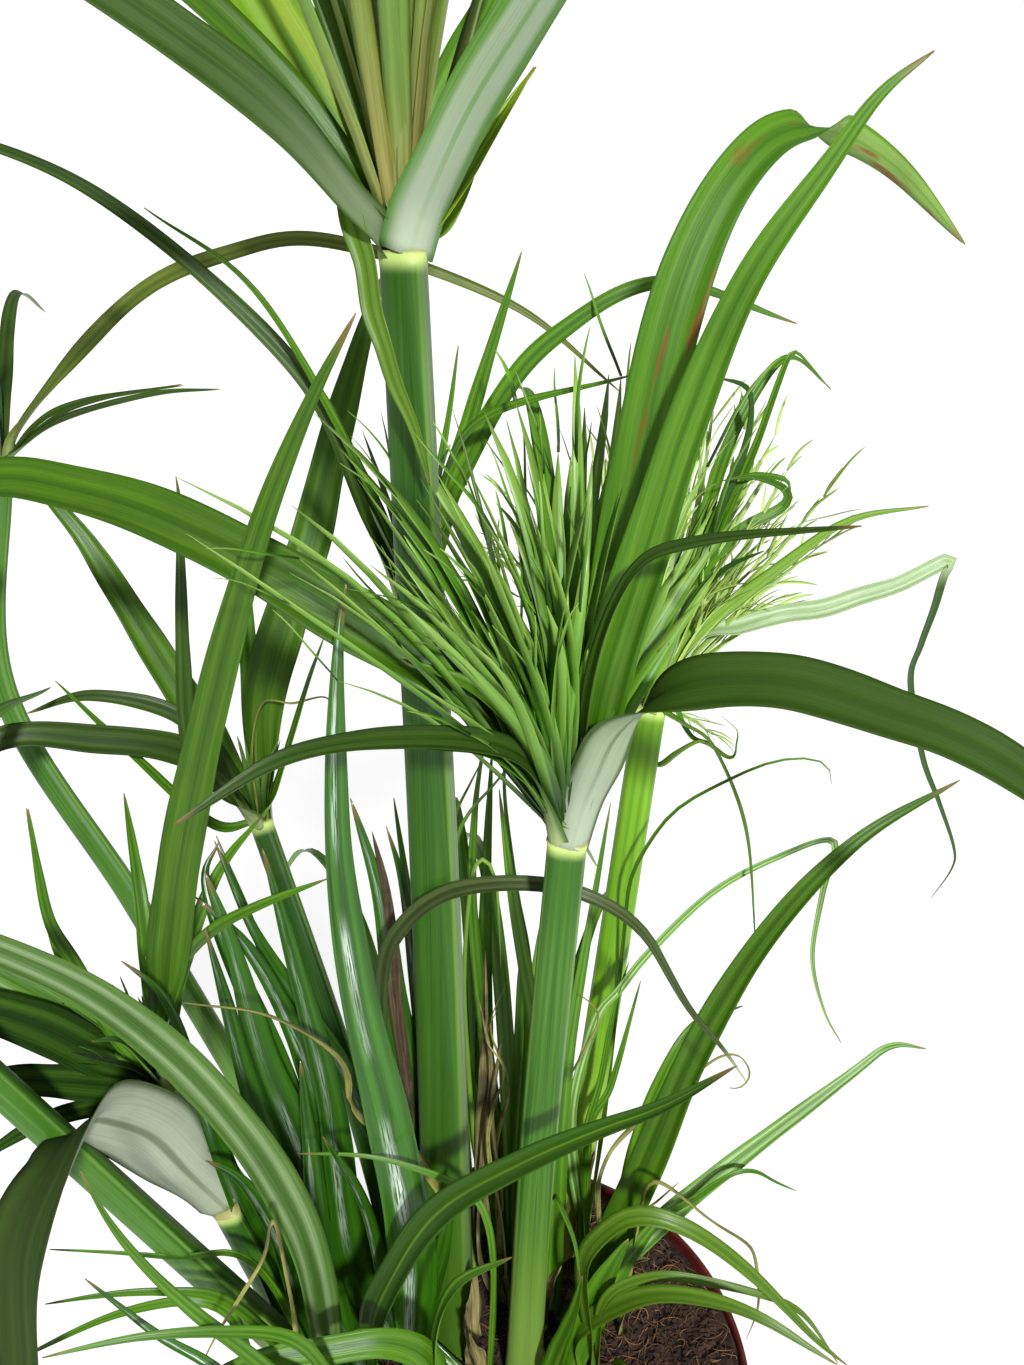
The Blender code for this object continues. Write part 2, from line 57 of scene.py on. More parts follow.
COLLAR_STEP = 3.0
DRAINS = 6
DRAIN_RADIUS = 4.5
DRAIN_RING = 36.0
SOIL_TOP = -6.0
CRUMBS = 4200
FIBRES = 2600

SHEATH_DROP = 0.8         # how far a bract's foot laps over the top of its stem
FOOT_OUT = 0.42           # how far it stands from the stem's axis, as a share of the stem's width
FOOT_GAP = 0.4            # and in millimetres more
BRACT_FOOT = 0.7          # width of a bract's foot as a share of the stem's width
SHEATHING_FOOT = 1.15     # the same where the foot is a sheath round the stem
WIDEST_FOOT = 1.2         # the most that a bract's foot may be, as a share of its blade's width
LEAF_FOOT = 0.75          # width of a basal leaf's foot as a share of its blade's
FREE_FOOT = 0.6           # the same for a leaf of FREE_LEAVES
SMALL_FOOT = 0.7          # and for a small leaf
RAY_SHIFT = (-0.6, 1.2, 0)  # from the top of the stem to the middle of its sheaf of rays
RAY_ROWS = 10
BRANCH_BEND = 20          # degrees
BRANCH_STRAY = 0.22       # how far a branch strays to a side for each unit that its ray goes
PLACED_WIDTHS = 1.5       # what the widths in FRONT_RAYS and RIGHT_RAYS are multiplied by

# Where each group of pieces starts to count its seeds: a seed sets a piece's random draws and its streaks
SEEDS = {"free leaves": 100, "thin bracts": 200, "tufts": 400, "filling": 520, "outer filling": 540,
         "strands": 600, "dry_sheaths": 640, "dark_sheaths": 660, "stems": 40, "umbels": 900, "branches": 50,
         "soil": 7}
SEED_STEP = 20            # from one mesh of thin bracts or tuft leaves to the next

# How small leaves, dry strands and dry sheaths differ from the leaves with a solid of their own
SMALL_LEAF = {"columns": 7, "rows": 44, "taper": 1.5}
STRAND = {"columns": 5, "rows": 60, "taper": 1.6, "sway": 60, "ridge": 0, "fold": 0.5, "thick": 0.25}
SHEATH = {"columns": 9, "rows": 40, "taper": 3.5, "sway": 25, "fold": 0.7, "thick": 0.25}
STRAND_ROLL = 200
SHEATH_ROLL = 30

# Stem: base (x, y), top (x, y, height), thickness at base and top, sideways bows at even steps between
STEMS = {
    "tall": ((-17, 12), (-19, 19, 302), (15.0, 9.0), [(1, 1)]),
    "front": ((4, 2), (13, -4, 186), (10.0, 8.2), [(-1, 1)]),
    "right": ((17, 40), (39, 66, 182), (9.5, 8.4), [(0, -3)]),
    "back_left": ((-34, 34), (-75, 79, 136), (7.6, 6.8), [(4, -4)]),
    "far_left": ((-47, 32), (-144, 105, 239), (7.6, 6.6), [(-9, 0), (-18, 0), (-28, 0)]),
    "low_left": ((-46, -6), (-125, -19, 147), (9.0, 7.4), [(0, 0)]),
    "young_left": ((-60, 6), (-75, 0, 65), (7.0, 6.6), [(0, 0)]),
    "hidden": ((-14, 34), (-23, 46, 220), (9.0, 7.5), [(0, 0)]),
    "dark_left": ((-57, 21), (-90, 10, 99), (8.0, 7.0), [(0, 0)]),
}
# Finish of a stem where it isn't the plain one
STEM_FINISHES = {"tall": "culm_tall", "right": "culm_bright", "back_left": "culm_dark"}
# Degrees that a stem's corners are turned about its axis
CORNER_TURNS = {"tall": 30}

# Leaf: where it springs from, bearing of its foot, heading, roll, width, finish, taper, side view.
# A taper of 2.4 keeps the leaf broad almost to its tip, and one near 1 makes a long spear.
LEAVES = {
    "tall_bract_front": ("tall", -76, -50, -30, 9.4, "grey", 2.6, [
        (6, 7), (20, 23), (38, 38), (62, 58), (95, 75), (125, 74)]),
    "tall_bract_left": ("tall", 136, 203, -65, 9.4, "grey_green", 2.4, [
        (5, 3), (10, 8), (20, 20), (34, 31), (60, 46), (95, 56), (135, 46)]),
    "tall_bract_back": ("tall", 140, 150, -50, 13, "yellow", 2.2, [
        (12, 18), (29, 42), (46, 62), (75, 84), (108, 80)]),
    "tall_bract_right": ("tall", 10, 5, 50, 3.2, "yellow", 2.6, [
        (3.4, 4), (5.8, 8), (8.6, 13), (11.8, 19), (16, 25), (23, 32)]),
    "front_bract_right": ("front", -85, -22, 35, 12.4, "olive", 2.6, [
        (3, 8), (6, 17), (9, 26), (14, 33), (20, 38), (29, 42), (41, 44), (51, 43), (61, 41), (71, 39),
        (83, 34), (104, 21), (124, 2)]),
    "front_bract_left": ("front", 160, 167, -48, 14, "ribbed", 2.4, [
        (5, 13), (15, 27), (27, 37), (46, 46), (67, 57), (89, 66), (108, 70), (122, 71), (145, 66),
        (168, 52)]),
    "front_bract_small": ("front", 215, 212, -35, 6.5, "dark", 1.8, [
        (10, 21), (28, 32), (58, 38), (81, 31)]),
    "front_bract_folded": ("front", 82, 36, 40, 13.5, "rusty", 1.7, [
        (9, 31), (12, 52), (17, 85), (22, 106), (29, 121), (38, 131), (48, 136), (62, 136), (83, 129),
        (110, 114)]),
    "front_bract_pointed": ("front", 42, 5, 70, 13, "bright", 1.1, [
        (6, 33), (13, 62), (20, 89), (29, 113), (41, 131), (48, 141), (56, 147)]),
    "front_bract_narrow": ("front", 40, -35, 50, 4.4, "dark", 1.6, [(4, 37), (12, 62), (25, 71), (53, 79)]),
    "right_bract_folded": ("right", -15, 8, 60, 6, "silver", 1.0, [
        (12, 19), (23, 22), (35, 25), (46, 26), (56, 29), (67, 32), (80, 38), (79, 33), (78, 24), (76, 13),
        (75, 2), (83, -23), (91, -39), (99, -56), (100, -64), (95, -75)]),
    "right_bract_upright": ("right", 70, 35, 40, 5, "bright", 1.4, [
        (9, 23), (18, 60), (28, 79), (41, 89), (59, 79)]),
    "right_bract_slender": ("right", -80, -5, -85, 5, "bright", 1.3, [
        (7, 17), (33, 43), (47, 54), (65, 58)]),
    "back_left_bract_shiny": ("back_left", 130, 160, -40, 11, "ribbed", 2.0, [
        (12, 22), (24, 42), (32, 56), (41, 72), (49, 85), (59, 96), (66, 103)]),
    "back_left_bract_upright": ("back_left", 275, 228, -115, 6, "dark", 1.4, [
        (14, 21), (20, 36), (18, 63), (15, 87), (13, 103), (13, 109)]),
    "back_left_bract_brown": ("back_left", 172, 184, -45, 6.5, "dark", 1.8, [
        (11, 24), (22, 38), (44, 44), (62, 39)]),
    "back_left_bract_level": ("back_left", 226, 206, -60, 9, "dark", 1.8, [
        (12, 21), (23, 31), (41, 38), (65, 44), (88, 30), (112, 14)]),
    "back_left_bract_tall": ("back_left", 50, 50, 45, 13, "ribbed", 2.8, [
        (5, 36), (16, 61), (28, 82), (37, 103), (46, 122), (54, 138), (62, 152)]),
    "far_left_bract_arched": ("far_left", -3, -3, 70, 5, "tawny", 1.6, [
        (8, 11), (44, 44), (72, 56), (99, 59), (145, 44), (174, 22)]),
    "hidden_bract_left": ("hidden", 170, 170, -65, 4.4, "dark", 1.6, [
        (9, 18), (24, 54), (68, 91), (112, 104), (130, 98)]),
    "hidden_bract_spear": ("hidden", 60, 15, 70, 6, "bright", 1.2, [(7, 18), (17, 50), (27, 79)]),
    "hidden_bract_arched": ("hidden", -15, 5, 75, 5, "bright", 1.8, [
        (6, 18), (21, 48), (35, 63), (57, 73), (88, 64)]),
    "dark_left_bract_tall": ("dark_left", -42, -22, 115, 12, "ribbed", 1.25, [
        (6, 31), (14, 64), (23, 93), (37, 131), (49, 159), (61, 181), (71, 196)]),
    "dark_left_bract_wide": ("dark_left", 140, 176, -60, 14, "bright", 2.4, [
        (6, 5), (12, 13), (21, 24), (30, 32), (41, 39), (60, 45), (84, 44)]),
    "dark_left_bract_low": ("dark_left", 200, 190, -55, 12, "black", 2.4, [
        (5, 4), (12, 10), (20, 19), (28, 26), (39, 32), (58, 35), (84, 24)]),
    "leaf_striped": ((-44.5, -20), 188, 188, -45, 10.5, "striped", 2.4, [
        (2, 30), (4, 78), (9, 104), (17, 127), (28, 149), (41, 167), (55, 179), (69, 187), (84, 186),
        (104, 168)]),
    "leaf_glossy": ((-29, -5), 155, 155, -45, 15, "glossy", 1.2, [
        (-4, 60), (1, 110), (6, 141), (9, 178), (8, 207), (5, 236), (2, 250)]),
    "leaf_glossy_short": ((-44, 16), 165, 165, -45, 12.5, "glossy", 1.2, [
        (10, 30), (17, 89), (33, 154), (28, 172)]),
    "leaf_forward": ((-34, -18), -4, -4, 40, 10.5, "midrib", 1.5, [
        (-2, 44), (6, 72), (18, 95), (37, 112), (54, 124), (69, 133), (84, 146)]),
    "leaf_long": ((17, 12), 20, 20, 40, 12, "ribbed", 1.3, [
        (4, 8), (22, 58), (38, 106), (56, 139), (80, 162), (110, 174)]),
    "leaf_pale": ((28, 26), 22, 22, 40, 7.5, "pale", 1.2, [
        (5, 5), (28, 27), (87, 59), (102, 66), (118, 59)]),
    "leaf_dark_arch": ((-34, 10), -5, -5, 50, 6, "tawny_dark", 1.7, [
        (1, 60), (2, 120), (4, 147), (8, 156), (14, 164), (24, 170), (42, 172), (56, 168), (66, 160),
        (72, 149), (79, 136), (87, 126), (94, 115)]),
    "leaf_kinked": ((26, 35), 16, 16, 100, 4, "pale", 1.3, [
        (-8, 64), (-2, 103), (5, 114), (14, 126), (31, 142), (50, 150), (67, 152), (66, 134), (66, 111),
        (73, 89), (81, 74)]),
    "leaf_narrow": ((-40, 26), 158, 158, -40, 6, "glossy", 1.3, [(14, 57), (30, 127), (40, 162)]),
}

# Part of a leaf's length over which it turns from the roll of its foot, where that isn't the first quarter
TWISTS = {"front_bract_right": (0.12, 0.34)}
# A second turn that a leaf makes nearer its tip: from, to, degrees
SECOND_TURNS = {"front_bract_folded": (0.7, 0.78, -105)}
# Bracts whose foot is a sheath round the stem
SHEATHING = ("tall_bract_front", "front_bract_right")
# Leaves with sharp bends, which get more rows and aren't softened
SHARPLY_BENT = ("front_bract_folded", "right_bract_folded", "leaf_kinked")

# Leaves that leave their own upright plane: width, the way the upper face looks, roll of the first half,
# finish, taper, points
FREE_LEAVES = {
    "young_left_bract": (22.0, (-0.5, -0.6, 0.6), 60, "young", 3.2, [
        (-75, 0, 65), (-82, -3, 82), (-88, -7, 100), (-95, -13, 112), (-97, -20, 119), (-98, -33, 120),
        (-103, -45, 108), (-105, -52, 81), (-107, -58, 50)]),
    "tall_bract_bent": (4.6, (-0.2, -1.0, 0.3), 0, "sallow", 2.2, [
        (-21, 21, 303), (-25, 21, 309), (-29, 20, 312), (-29, 18, 310), (-28, 16, 306), (-26, 14, 300),
        (-25, 12, 292), (-23, 10, 286), (-21, 9, 279), (-18, 8, 272), (-16, 7, 265), (-15, 7, 260)]),
}

# Rays that are placed one by one, as bearing, lean from upright in degrees, length and width
FRONT_RAYS = [
    (188, 40, 108, 2.6), (189, 41, 100, 2.4), (183, 34, 90, 2.8), (182, 35, 81, 2.6), (188, 40, 81, 2.2),
    (166, 29, 102, 3.2), (166, 27, 87, 2.8), (158, 30, 96, 2.8), (148, 24, 89, 3.0), (126, 25, 94, 2.6),
    (169, 18, 83, 3.2), (190, 29, 74, 3.2), (195, 46, 63, 2.0), (210, 34, 56, 2.2), (216, 35, 39, 2.4),
    (138, 14, 91, 3.0), (108, 30, 92, 2.4), (107, 20, 93, 2.8), (99, 23, 83, 2.6), (99, 37, 81, 2.2),
    (97, 15, 77, 3.4), (85, 19, 101, 2.8), (82, 29, 103, 2.6), (77, 23, 99, 3.0), (88, 35, 99, 2.4),
    (68, 22, 104, 2.8), (76, 32, 98, 2.4), (56, 19, 87, 3.0), (64, 32, 98, 2.4), (57, 27, 102, 2.4),
    (58, 36, 97, 2.2), (40, 27, 83, 2.6), (29, 30, 76, 2.4), (41, 42, 70, 2.0), (9, 24, 58, 2.6),
    (7, 15, 64, 3.4), (45, 9, 77, 3.6), (41, 3, 74, 3.6), (216, 4, 68, 3.6), (207, 12, 66, 3.6),
    (210, 21, 63, 3.2),
]
RIGHT_RAYS = [
    (76, 26, 99, 1.6), (68, 23, 86, 1.8), (64, 31, 81, 1.6), (58, 30, 89, 1.6), (48, 28, 79, 1.8),
    (49, 36, 83, 1.6), (49, 37, 92, 1.6), (39, 42, 76, 1.6), (32, 32, 68, 1.8), (24, 32, 57, 1.8),
    (27, 47, 58, 1.6), (26, 54, 59, 1.4), (33, 56, 52, 1.4), (44, 52, 52, 1.6), (53, 44, 65, 1.6),
    (59, 38, 77, 1.8), (34, 20, 58, 2.0), (17, 25, 50, 2.0), (8, 39, 38, 1.8), (27, 60, 43, 1.4),
    (345, 26, 36, 1.8), (53, 18, 62, 2.0), (61, 44, 51, 1.6), (39, 121, 20, 1.2), (0, 121, 18, 1.2),
    (41, 99, 28, 1.2),
]
# Corners of a ray's section: across and up in half widths, and 1 on the lower face
RAY_CORNERS = [(-1, 0.35, 0), (0, 0, 0), (1, 0.35, 0), (1, 0.3, 1), (0, -0.25, 1), (-1, 0.3, 1)]
# Umbel: rays placed one by one, count of the others, their length, widest lean, width, bearings from and to,
# bend, finish, fine branches at the tip of each ray and their length
UMBELS = {
    "tall": ([], 30, 112, 20, 4.2, (0, 360), 8, "ray_pale", 0, 0),
    "front": (FRONT_RAYS, 60, 80, 30, 4.4, (20, 230), 26, "ray_green", 1, 22),
    "right": (RIGHT_RAYS, 50, 70, 56, 1.8, (-20, 200), 14, "ray_bright", 6, 12),
    "back_left": ([], 10, 34, 26, 2.4, (0, 360), 14, "ray_dark", 0, 0),
    "far_left": ([], 10, 40, 40, 2.4, (100, 270), 20, "ray_dark", 0, 0),
    "low_left": ([], 30, 56, 56, 2.6, (90, 290), 20, "ray_green", 1, 14),
    "hidden": ([], 16, 44, 24, 2.6, (0, 360), 16, "ray_dark", 0, 0),
    "dark_left": ([], 16, 36, 44, 3.2, (90, 270), 20, "ray_dark", 1, 10),
}

# Thin leaves of an umbel: stem, finish and its leaves as heading, roll, width, side view
THIN_BRACTS = {
    "tall": ("tall", "bright", [
        (130, -40, 9, [(3, 17), (10, 31), (16, 41), (30, 66), (52, 84)]),
        (50, 40, 8, [(3, 10), (9, 22), (15, 30), (24, 40), (44, 62), (70, 74)]),
        (80, 20, 9, [(8, 20), (20, 46), (36, 70), (60, 84)])]),
    "tall_left": ("tall", "ribbed", [
        (168, -50, 8, [(4, 6), (14, 18), (26, 32), (40, 44), (64, 60), (90, 66)]),
        (150, -60, 7, [(3, 12), (9, 26), (14, 40), (26, 62), (44, 78)])]),
    "right": ("right", "bright", [
        (20, 40, 4, [(7, 24), (19, 58), (31, 61), (38, 57), (29, 47)]),
        (-42, -40, 3, [(13, -2), (21, -5), (33, -26), (40, -63)]),
        (20, 40, 3.2, [(10, 30), (21, 58), (26, 71), (29, 81), (33, 93), (35, 92), (46, 82)]),
        (10, 60, 5, [
            (9, 33), (15, 43), (23, 50), (30, 53), (34, 56), (33, 59), (29, 61), (22, 63), (15, 62)]),
        (-40, -60, 2.4, [(-3, -12), (3, -18), (9, -12), (14, -7), (18, -5), (25, -7)]),
        (-30, 30, 1.6, [
            (6, 4), (9, -2), (13, -7), (17, -7), (23, -10), (25, -9), (25, -5), (25, -1), (20, 2)])]),
    "right_pale": ("right", "silver", [
        (20, -70, 5.5, [(4, 12), (10, 30), (13, 38), (18, 55), (23, 71), (23, 82), (21, 85), (13, 87)]),
        (60, 40, 4.5, [(3, 14), (8, 34), (14, 56), (18, 74), (26, 86)]),
        (-10, 40, 4, [(3, 12), (8, 28), (16, 40), (26, 46)])]),
    "back_left": ("back_left", "bright", [
        (202, -40, 4, [(14, 2), (33, 30), (49, 56)]),
        (-20, 50, 4, [(6, 12), (13, 30), (21, 51), (27, 65)]),
        (100, 20, 7, [(8, 24), (22, 52), (46, 70), (70, 66)])]),
    "far_left": ("far_left", "dark", [
        (-10, 40, 2.8, [(21, 16), (58, 24)]),
        (-24, 40, 3.2, [(24, 14), (58, 24), (80, 27)]),
        (-16, 40, 1.4, [(20, 14), (40, 21), (62, 25)]),
        (100, 20, 5, [(20, 20), (52, 40), (90, 30)]),
        (200, -30, 6, [(14, 22), (40, 36), (66, 20)]),
        (0, 40, 2.4, [(1, 12), (0, 26), (3, 38), (6, 45)])]),
    "low_left": ("low_left", "bright", [
        (90, 20, 7, [(14, 22), (44, 48), (86, 40)]),
        (170, -30, 8, [(16, 24), (50, 44), (88, 30)]),
        (250, -20, 7, [(12, 20), (38, 34), (66, 12)])]),
    "hidden": ("hidden", "bright", [
        (178, -40, 2.6, [(8, 26), (30, 70), (53, 88)]),
        (-24, 40, 4, [(8, 27), (19, 46), (53, 58)]),
        (38, 40, 2.4, [(11, 40), (15, 59)]),
        (95, 20, 6, [(12, 30), (38, 66), (78, 60)])]),
    "dark_left": ("dark_left", "bright", [
        (62, 20, 6, [(8, 24), (28, 48), (48, 56)]),
        (-104, -40, 3.8, [(12, 26), (22, 36)]),
        (-10, 40, 5.5, [(3, 18), (5, 30), (11, 42), (21, 54), (34, 63), (50, 72)]),
        (175, -40, 4.5, [(5, 8), (11, 18), (17, 39), (21, 51), (21, 67), (20, 84)]),
        (108, 20, 6, [(16, 20), (34, 40), (40, 66)]),
        (140, -40, 3, [(14, 8), (34, 10), (46, 20), (46, 40), (46, 57), (45, 67)])]),
    "dark_left_low": ("dark_left", "black", [
        (205, -40, 10, [(8, 3), (24, 12), (40, 18), (62, 14)]),
        (182, -50, 12, [(8, 6), (24, 20), (44, 30), (70, 32)]),
        (160, -40, 9, [(6, 6), (18, 18), (36, 28), (60, 30)]),
        (216, -30, 6, [(13, 2), (30, 6), (50, 2)])]),
    "front": ("front", "bright", [
        (100, 20, 7, [(8, 26), (22, 60), (46, 84), (78, 80)]),
        (205, -30, 6, [(4, 8), (10, 17), (20, 26), (34, 30)]),
        (180, -40, 6, [(3, 12), (10, 26), (20, 36), (34, 42)])]),
    "tall_right": ("tall", "yellow", [
        (5, 40, 3.6, [(8, 7), (24, 30)]),
        (35, 40, 3.2, [(9, 4), (17, 17), (24, 25), (30, 31)])]),
}
# Low tufts: place of the knob on the soil, finish, and its leaves as heading, roll, width, side view
TUFTS = {
    "left": ((-60, -23), "bright", [
        (186, -40, 3.4, [(6, 34), (11, 66), (34, 68), (66, 52)]),
        (196, -40, 3.6, [(10, 30), (30, 48), (64, 52)]),
        (214, -30, 4.4, [(8, 26), (26, 40), (50, 26)])]),
    "front_left": ((-44, -40), "glossy", [
        (204, -40, 4.6, [(-3, 50), (8, 68), (30, 80), (56, 76)]),
        (190, -40, 4, [(20, 66), (34, 88), (46, 110)]),
        (240, -30, 4.6, [(8, 34), (26, 50), (46, 30)])]),
    "front": ((-16, -28), "bright", [
        (-20, 40, 6.5, [(-3, 50), (3, 80), (18, 98)]),
        (192, -40, 8.5, [(2, 46), (12, 62), (27, 64), (52, 63), (92, 32)]),
        (250, -20, 6, [(6, 34), (20, 56), (44, 40)]),
        (160, -30, 3.2, [(4, 30), (5, 34), (10, 52), (25, 49), (45, 22)])]),
    "right": ((26, -4), "sallow", [
        (-10, 40, 6.5, [
            (-6, 50), (-1, 66), (6, 75), (14, 76), (25, 71), (37, 61), (48, 49), (58, 37), (67, 29)]),
        (-22, 40, 6.5, [(-8, 18), (0, 34), (16, 51), (38, 56), (62, 48)]),
        (-5, 40, 3.4, [(0, 38), (13, 51), (26, 51), (43, 47), (54, 41), (66, 21)]),
        (-62, 30, 3.4, [(5, 14), (11, 26), (39, 37)])]),
    "back": ((2, 28), "bright", [
        (0, 40, 5, [(4, 116), (0, 155), (-3, 185), (-2, 201)]),
        (128, -20, 5, [(18, 120), (18, 165), (12, 196)]),
        (40, 30, 4, [(14, 60), (20, 112), (22, 163)]),
        (72, 20, 7, [(10, 70), (30, 120), (62, 128), (96, 96)]),
        (102, 20, 7, [(12, 80), (36, 128), (74, 124), (104, 84)]),
        (88, 20, 6, [(22, 50), (50, 76), (84, 66)]),
        (168, -30, 4.5, [(12, 60), (17, 120), (16, 165), (11, 178), (5, 185), (-1, 196)]),
        (150, -30, 3.4, [(12, 60), (20, 120), (20, 164), (15, 178), (10, 189)]),
        (180, 40, 2.6, [(10, 40), (14, 116), (11, 161), (8, 166), (5, 158), (4, 129)])]),
}
# Basal leaves that fill the clump: place on the soil, heading, roll, width, side view
FILLING = [
    ((-40, 4), 185, -40, 12, [(4, 8), (11, 29), (19, 71), (25, 109), (28, 142), (30, 163)]),
    ((-38, 6), 165, -50, 13, [(4, 8), (10, 24), (19, 80), (27, 114), (31, 146), (36, 169)]),
    ((-30, 8), 175, -50, 11, [(6, 10), (15, 42), (17, 100), (23, 150), (27, 179)]),
    ((-22, 20), 170, -60, 12, [(2, 10), (4, 49), (5, 89), (8, 124), (10, 156), (16, 185)]),
    ((-44, -2), 190, -30, 11, [(4, 8), (12, 27), (17, 65), (24, 89), (32, 98)]),
    ((-34, -6), 150, -40, 9, [(8, 4), (17, 17), (21, 57), (21, 88), (21, 119)]),
    ((-14, -2), 150, -50, 8, [(6, 4), (14, 13), (5, 54), (0, 85)]),
    ((-60, 2), 180, -30, 9, [(4, 30), (12, 70), (18, 108), (22, 141), (31, 153)]),
    ((-20, 30), 170, -50, 8, [(0, 30), (3, 78), (7, 149), (11, 171)]),
    ((-26, -4), 200, -30, 10, [(4, 20), (8, 50), (12, 84), (20, 110)]),
    ((-36, 14), 168, -40, 11, [(4, 20), (12, 60), (18, 104), (30, 140), (44, 156)]),
    ((-20, 18), 165, -45, 8, [(6, 20), (13, 56), (25, 92), (38, 118), (49, 139), (57, 166)]),
]
# And the brighter ones round them
OUTER_FILLING = [
    ((-44, -20), 190, -30, 4, [(12, 40), (26, 69), (41, 76), (54, 78), (67, 78)]),
    ((-30, -40), 195, -40, 4.6, [(8, 50), (17, 83), (32, 93), (48, 98), (59, 99), (69, 99)]),
    ((-44, -40), 200, -60, 4.4, [(8, 60), (16, 82), (24, 98), (32, 117), (37, 133), (40, 149)]),
    ((-50, -10), 190, -30, 2.4, [(10, 50), (19, 71), (33, 73), (47, 78), (63, 83)]),
    ((24, 34), 20, 60, 3.4, [(0, 10), (0, 64), (6, 76), (14, 115)]),
    ((24, 34), 20, 60, 3, [(-1, 10), (-1, 59), (3, 81), (6, 107), (10, 123)]),
    ((30, 30), 10, 40, 2.4, [(4, 12), (14, 24), (27, 31), (39, 40), (47, 40), (54, 34), (62, 28)]),
    ((26, 46), 0, 40, 1.8, [
        (4, 60), (7, 132), (7, 144), (11, 154), (18, 167), (30, 175), (40, 181), (47, 183), (59, 182),
        (59, 175)]),
    ((14, 18), 60, 60, 6.5, [(-1, 30), (1, 83), (5, 109), (15, 142), (20, 158), (25, 173)]),
    ((4, 20), 150, -60, 7, [(-7, 74), (-5, 110), (0, 138), (4, 162), (7, 187)]),
    ((8, 10), -60, 40, 3, [(3, 40), (8, 72), (12, 72), (19, 67), (22, 55)]),
    ((-6, -9), 180, -40, 3, [(-2, 60), (1, 84), (8, 92), (17, 97), (27, 101), (37, 102), (46, 102)]),
    ((16, -2), 10, 60, 12, [(1, 10), (5, 26), (11, 44), (17, 58)]),
    ((22, 6), 20, 60, 10, [(1, 10), (5, 24), (13, 38), (24, 52)]),
    ((10, -8), -20, 60, 7, [(1, 10), (4, 26), (8, 44), (10, 60)]),
    ((-8, 50), 100, 20, 8, [(6, 30), (14, 80), (34, 120), (60, 132), (84, 110)]),
    ((10, 52), 60, 20, 7, [(6, 30), (16, 74), (36, 104), (62, 104)]),
    ((-30, 48), 130, 20, 8, [(4, 30), (10, 76), (26, 116), (52, 126), (76, 100)]),
    ((34, 40), 40, 20, 6, [(4, 20), (12, 54), (30, 78), (56, 72)]),
    ((-8, 44), 80, 10, 7, [(2, 30), (4, 90), (10, 140), (20, 176)]),
    ((-24, 42), 110, 10, 7, [(2, 30), (5, 80), (12, 124), (26, 158)]),
]
# Dry strands: place on the soil or stem that they hang from, heading, width, side view
STRANDS = [
    ((34, 12), -10, 1.8, [(2, 40), (5, 68), (12, 66), (23, 56), (33, 50), (36, 45), (39, 24), (37, 8)]),
    ((30, 20), 20, 1.8, [(-4, 60), (11, 82), (26, 92), (32, 95), (38, 93), (43, 84), (40, 79), (36, 81)]),
    ((-50, -34), 200, 2.4, [(0, 60), (1, 95), (2, 113), (5, 101), (9, 94), (14, 86), (18, 80), (22, 72)]),
    ((-10, 12), 200, 4.0, [
        (10, 70), (31, 106), (31, 114), (33, 124), (42, 136), (52, 145), (63, 150), (67, 152)]),
    ("back_left", 0, 1.0, [(-1, 21), (4, 40), (13, 40), (23, 42), (24, 35)]),
    ((16, 22), 20, 1.4, [(-1, 80), (0, 93), (5, 104), (9, 112), (8, 118), (3, 124)]),
    ((-2, 24), 10, 1.4, [(-2, 60), (2, 90), (-3, 112), (2, 128)]),
    ((0, 20), 190, 1.6, [(2, 40), (6, 76), (1, 100), (6, 112), (3, 122)]),
    ((20, 24), 0, 1.4, [(4, 20), (12, 44), (20, 40), (30, 52)]),
]
# Dry sheaths round the feet of the stems: place on the soil, heading, width, side view
SHEATHS = [
    ((-4, 26), 0, 3.6, [(-5, 20), (-4, 63), (-2, 102), (-2, 136)]),
    ((-2, 22), 180, 2.8, [(2, 16), (1, 50), (3, 84), (0, 108)]),
    ((-6, 24), 180, 2.6, [(-1, 16), (2, 60), (-1, 96), (2, 122)]),
    ((-10, 2), -60, 7.0, [(1, 4), (2, 16), (3, 34), (2, 46)]),
    ((-6, -8), 200, 6.0, [(1, 4), (2, 14), (4, 26), (5, 34)]),
    ((9, 6), 0, 5.0, [(0, 4), (1, 16), (3, 30), (6, 40)]),
    ((22, 38), -30, 5.0, [(0, 4), (1, 18), (3, 36), (5, 52)]),
    ((18, 14), -20, 6.0, [(0, 3), (2, 12), (5, 20), (9, 26)]),
    ((28, 24), -10, 4.0, [(0, 3), (3, 12), (8, 18), (15, 22)]),
    ((-20, 44), 120, 7.0, [(0, 4), (2, 24), (4, 44), (5, 58)]),
    ((-44, 36), 160, 6.0, [(0, 4), (2, 18), (5, 34), (8, 44)]),
]
# The dark ones beside the tall stem
DARK_SHEATHS = [
    ((-32, 22), 180, 7.0, [(-4, 30), (-2, 87), (-1, 123), (-1, 156), (1, 176)]),
    ((-29, 20), 180, 4.0, [(-2, 30), (-1, 80), (1, 110), (3, 140)]),
]


# ---------------------------------------------------------------- curves and sections

def unit(vectors):
    """Vectors over their own lengths."""
    return vectors / np.linalg.norm(vectors, axis=-1, keepdims=True)


def level(degrees):
    """Level unit vectors, the cosine along X and the sine along Y: 0 degrees is +X and 90 degrees is +Y."""
    angle = np.radians(degrees)
    return np.stack([np.cos(angle), np.sin(angle), 0 * angle], -1)


def circle(count):
    """Evenly spaced angles, once round from 0."""
    return np.linspace(0, math.tau, count, endpoint=False)


def side_by_side(*parts):
    """Arrays spread to one shape and joined along a new last axis."""
    return np.stack(np.broadcast_arrays(*parts), -1)


def ease(x, low, high):
    """Smooth step: 0 at low, 1 at high, three x squared less two x cubed between."""
    x = np.clip((x - low) / (high - low), 0, 1)
    return x * x * (3 - 2 * x)


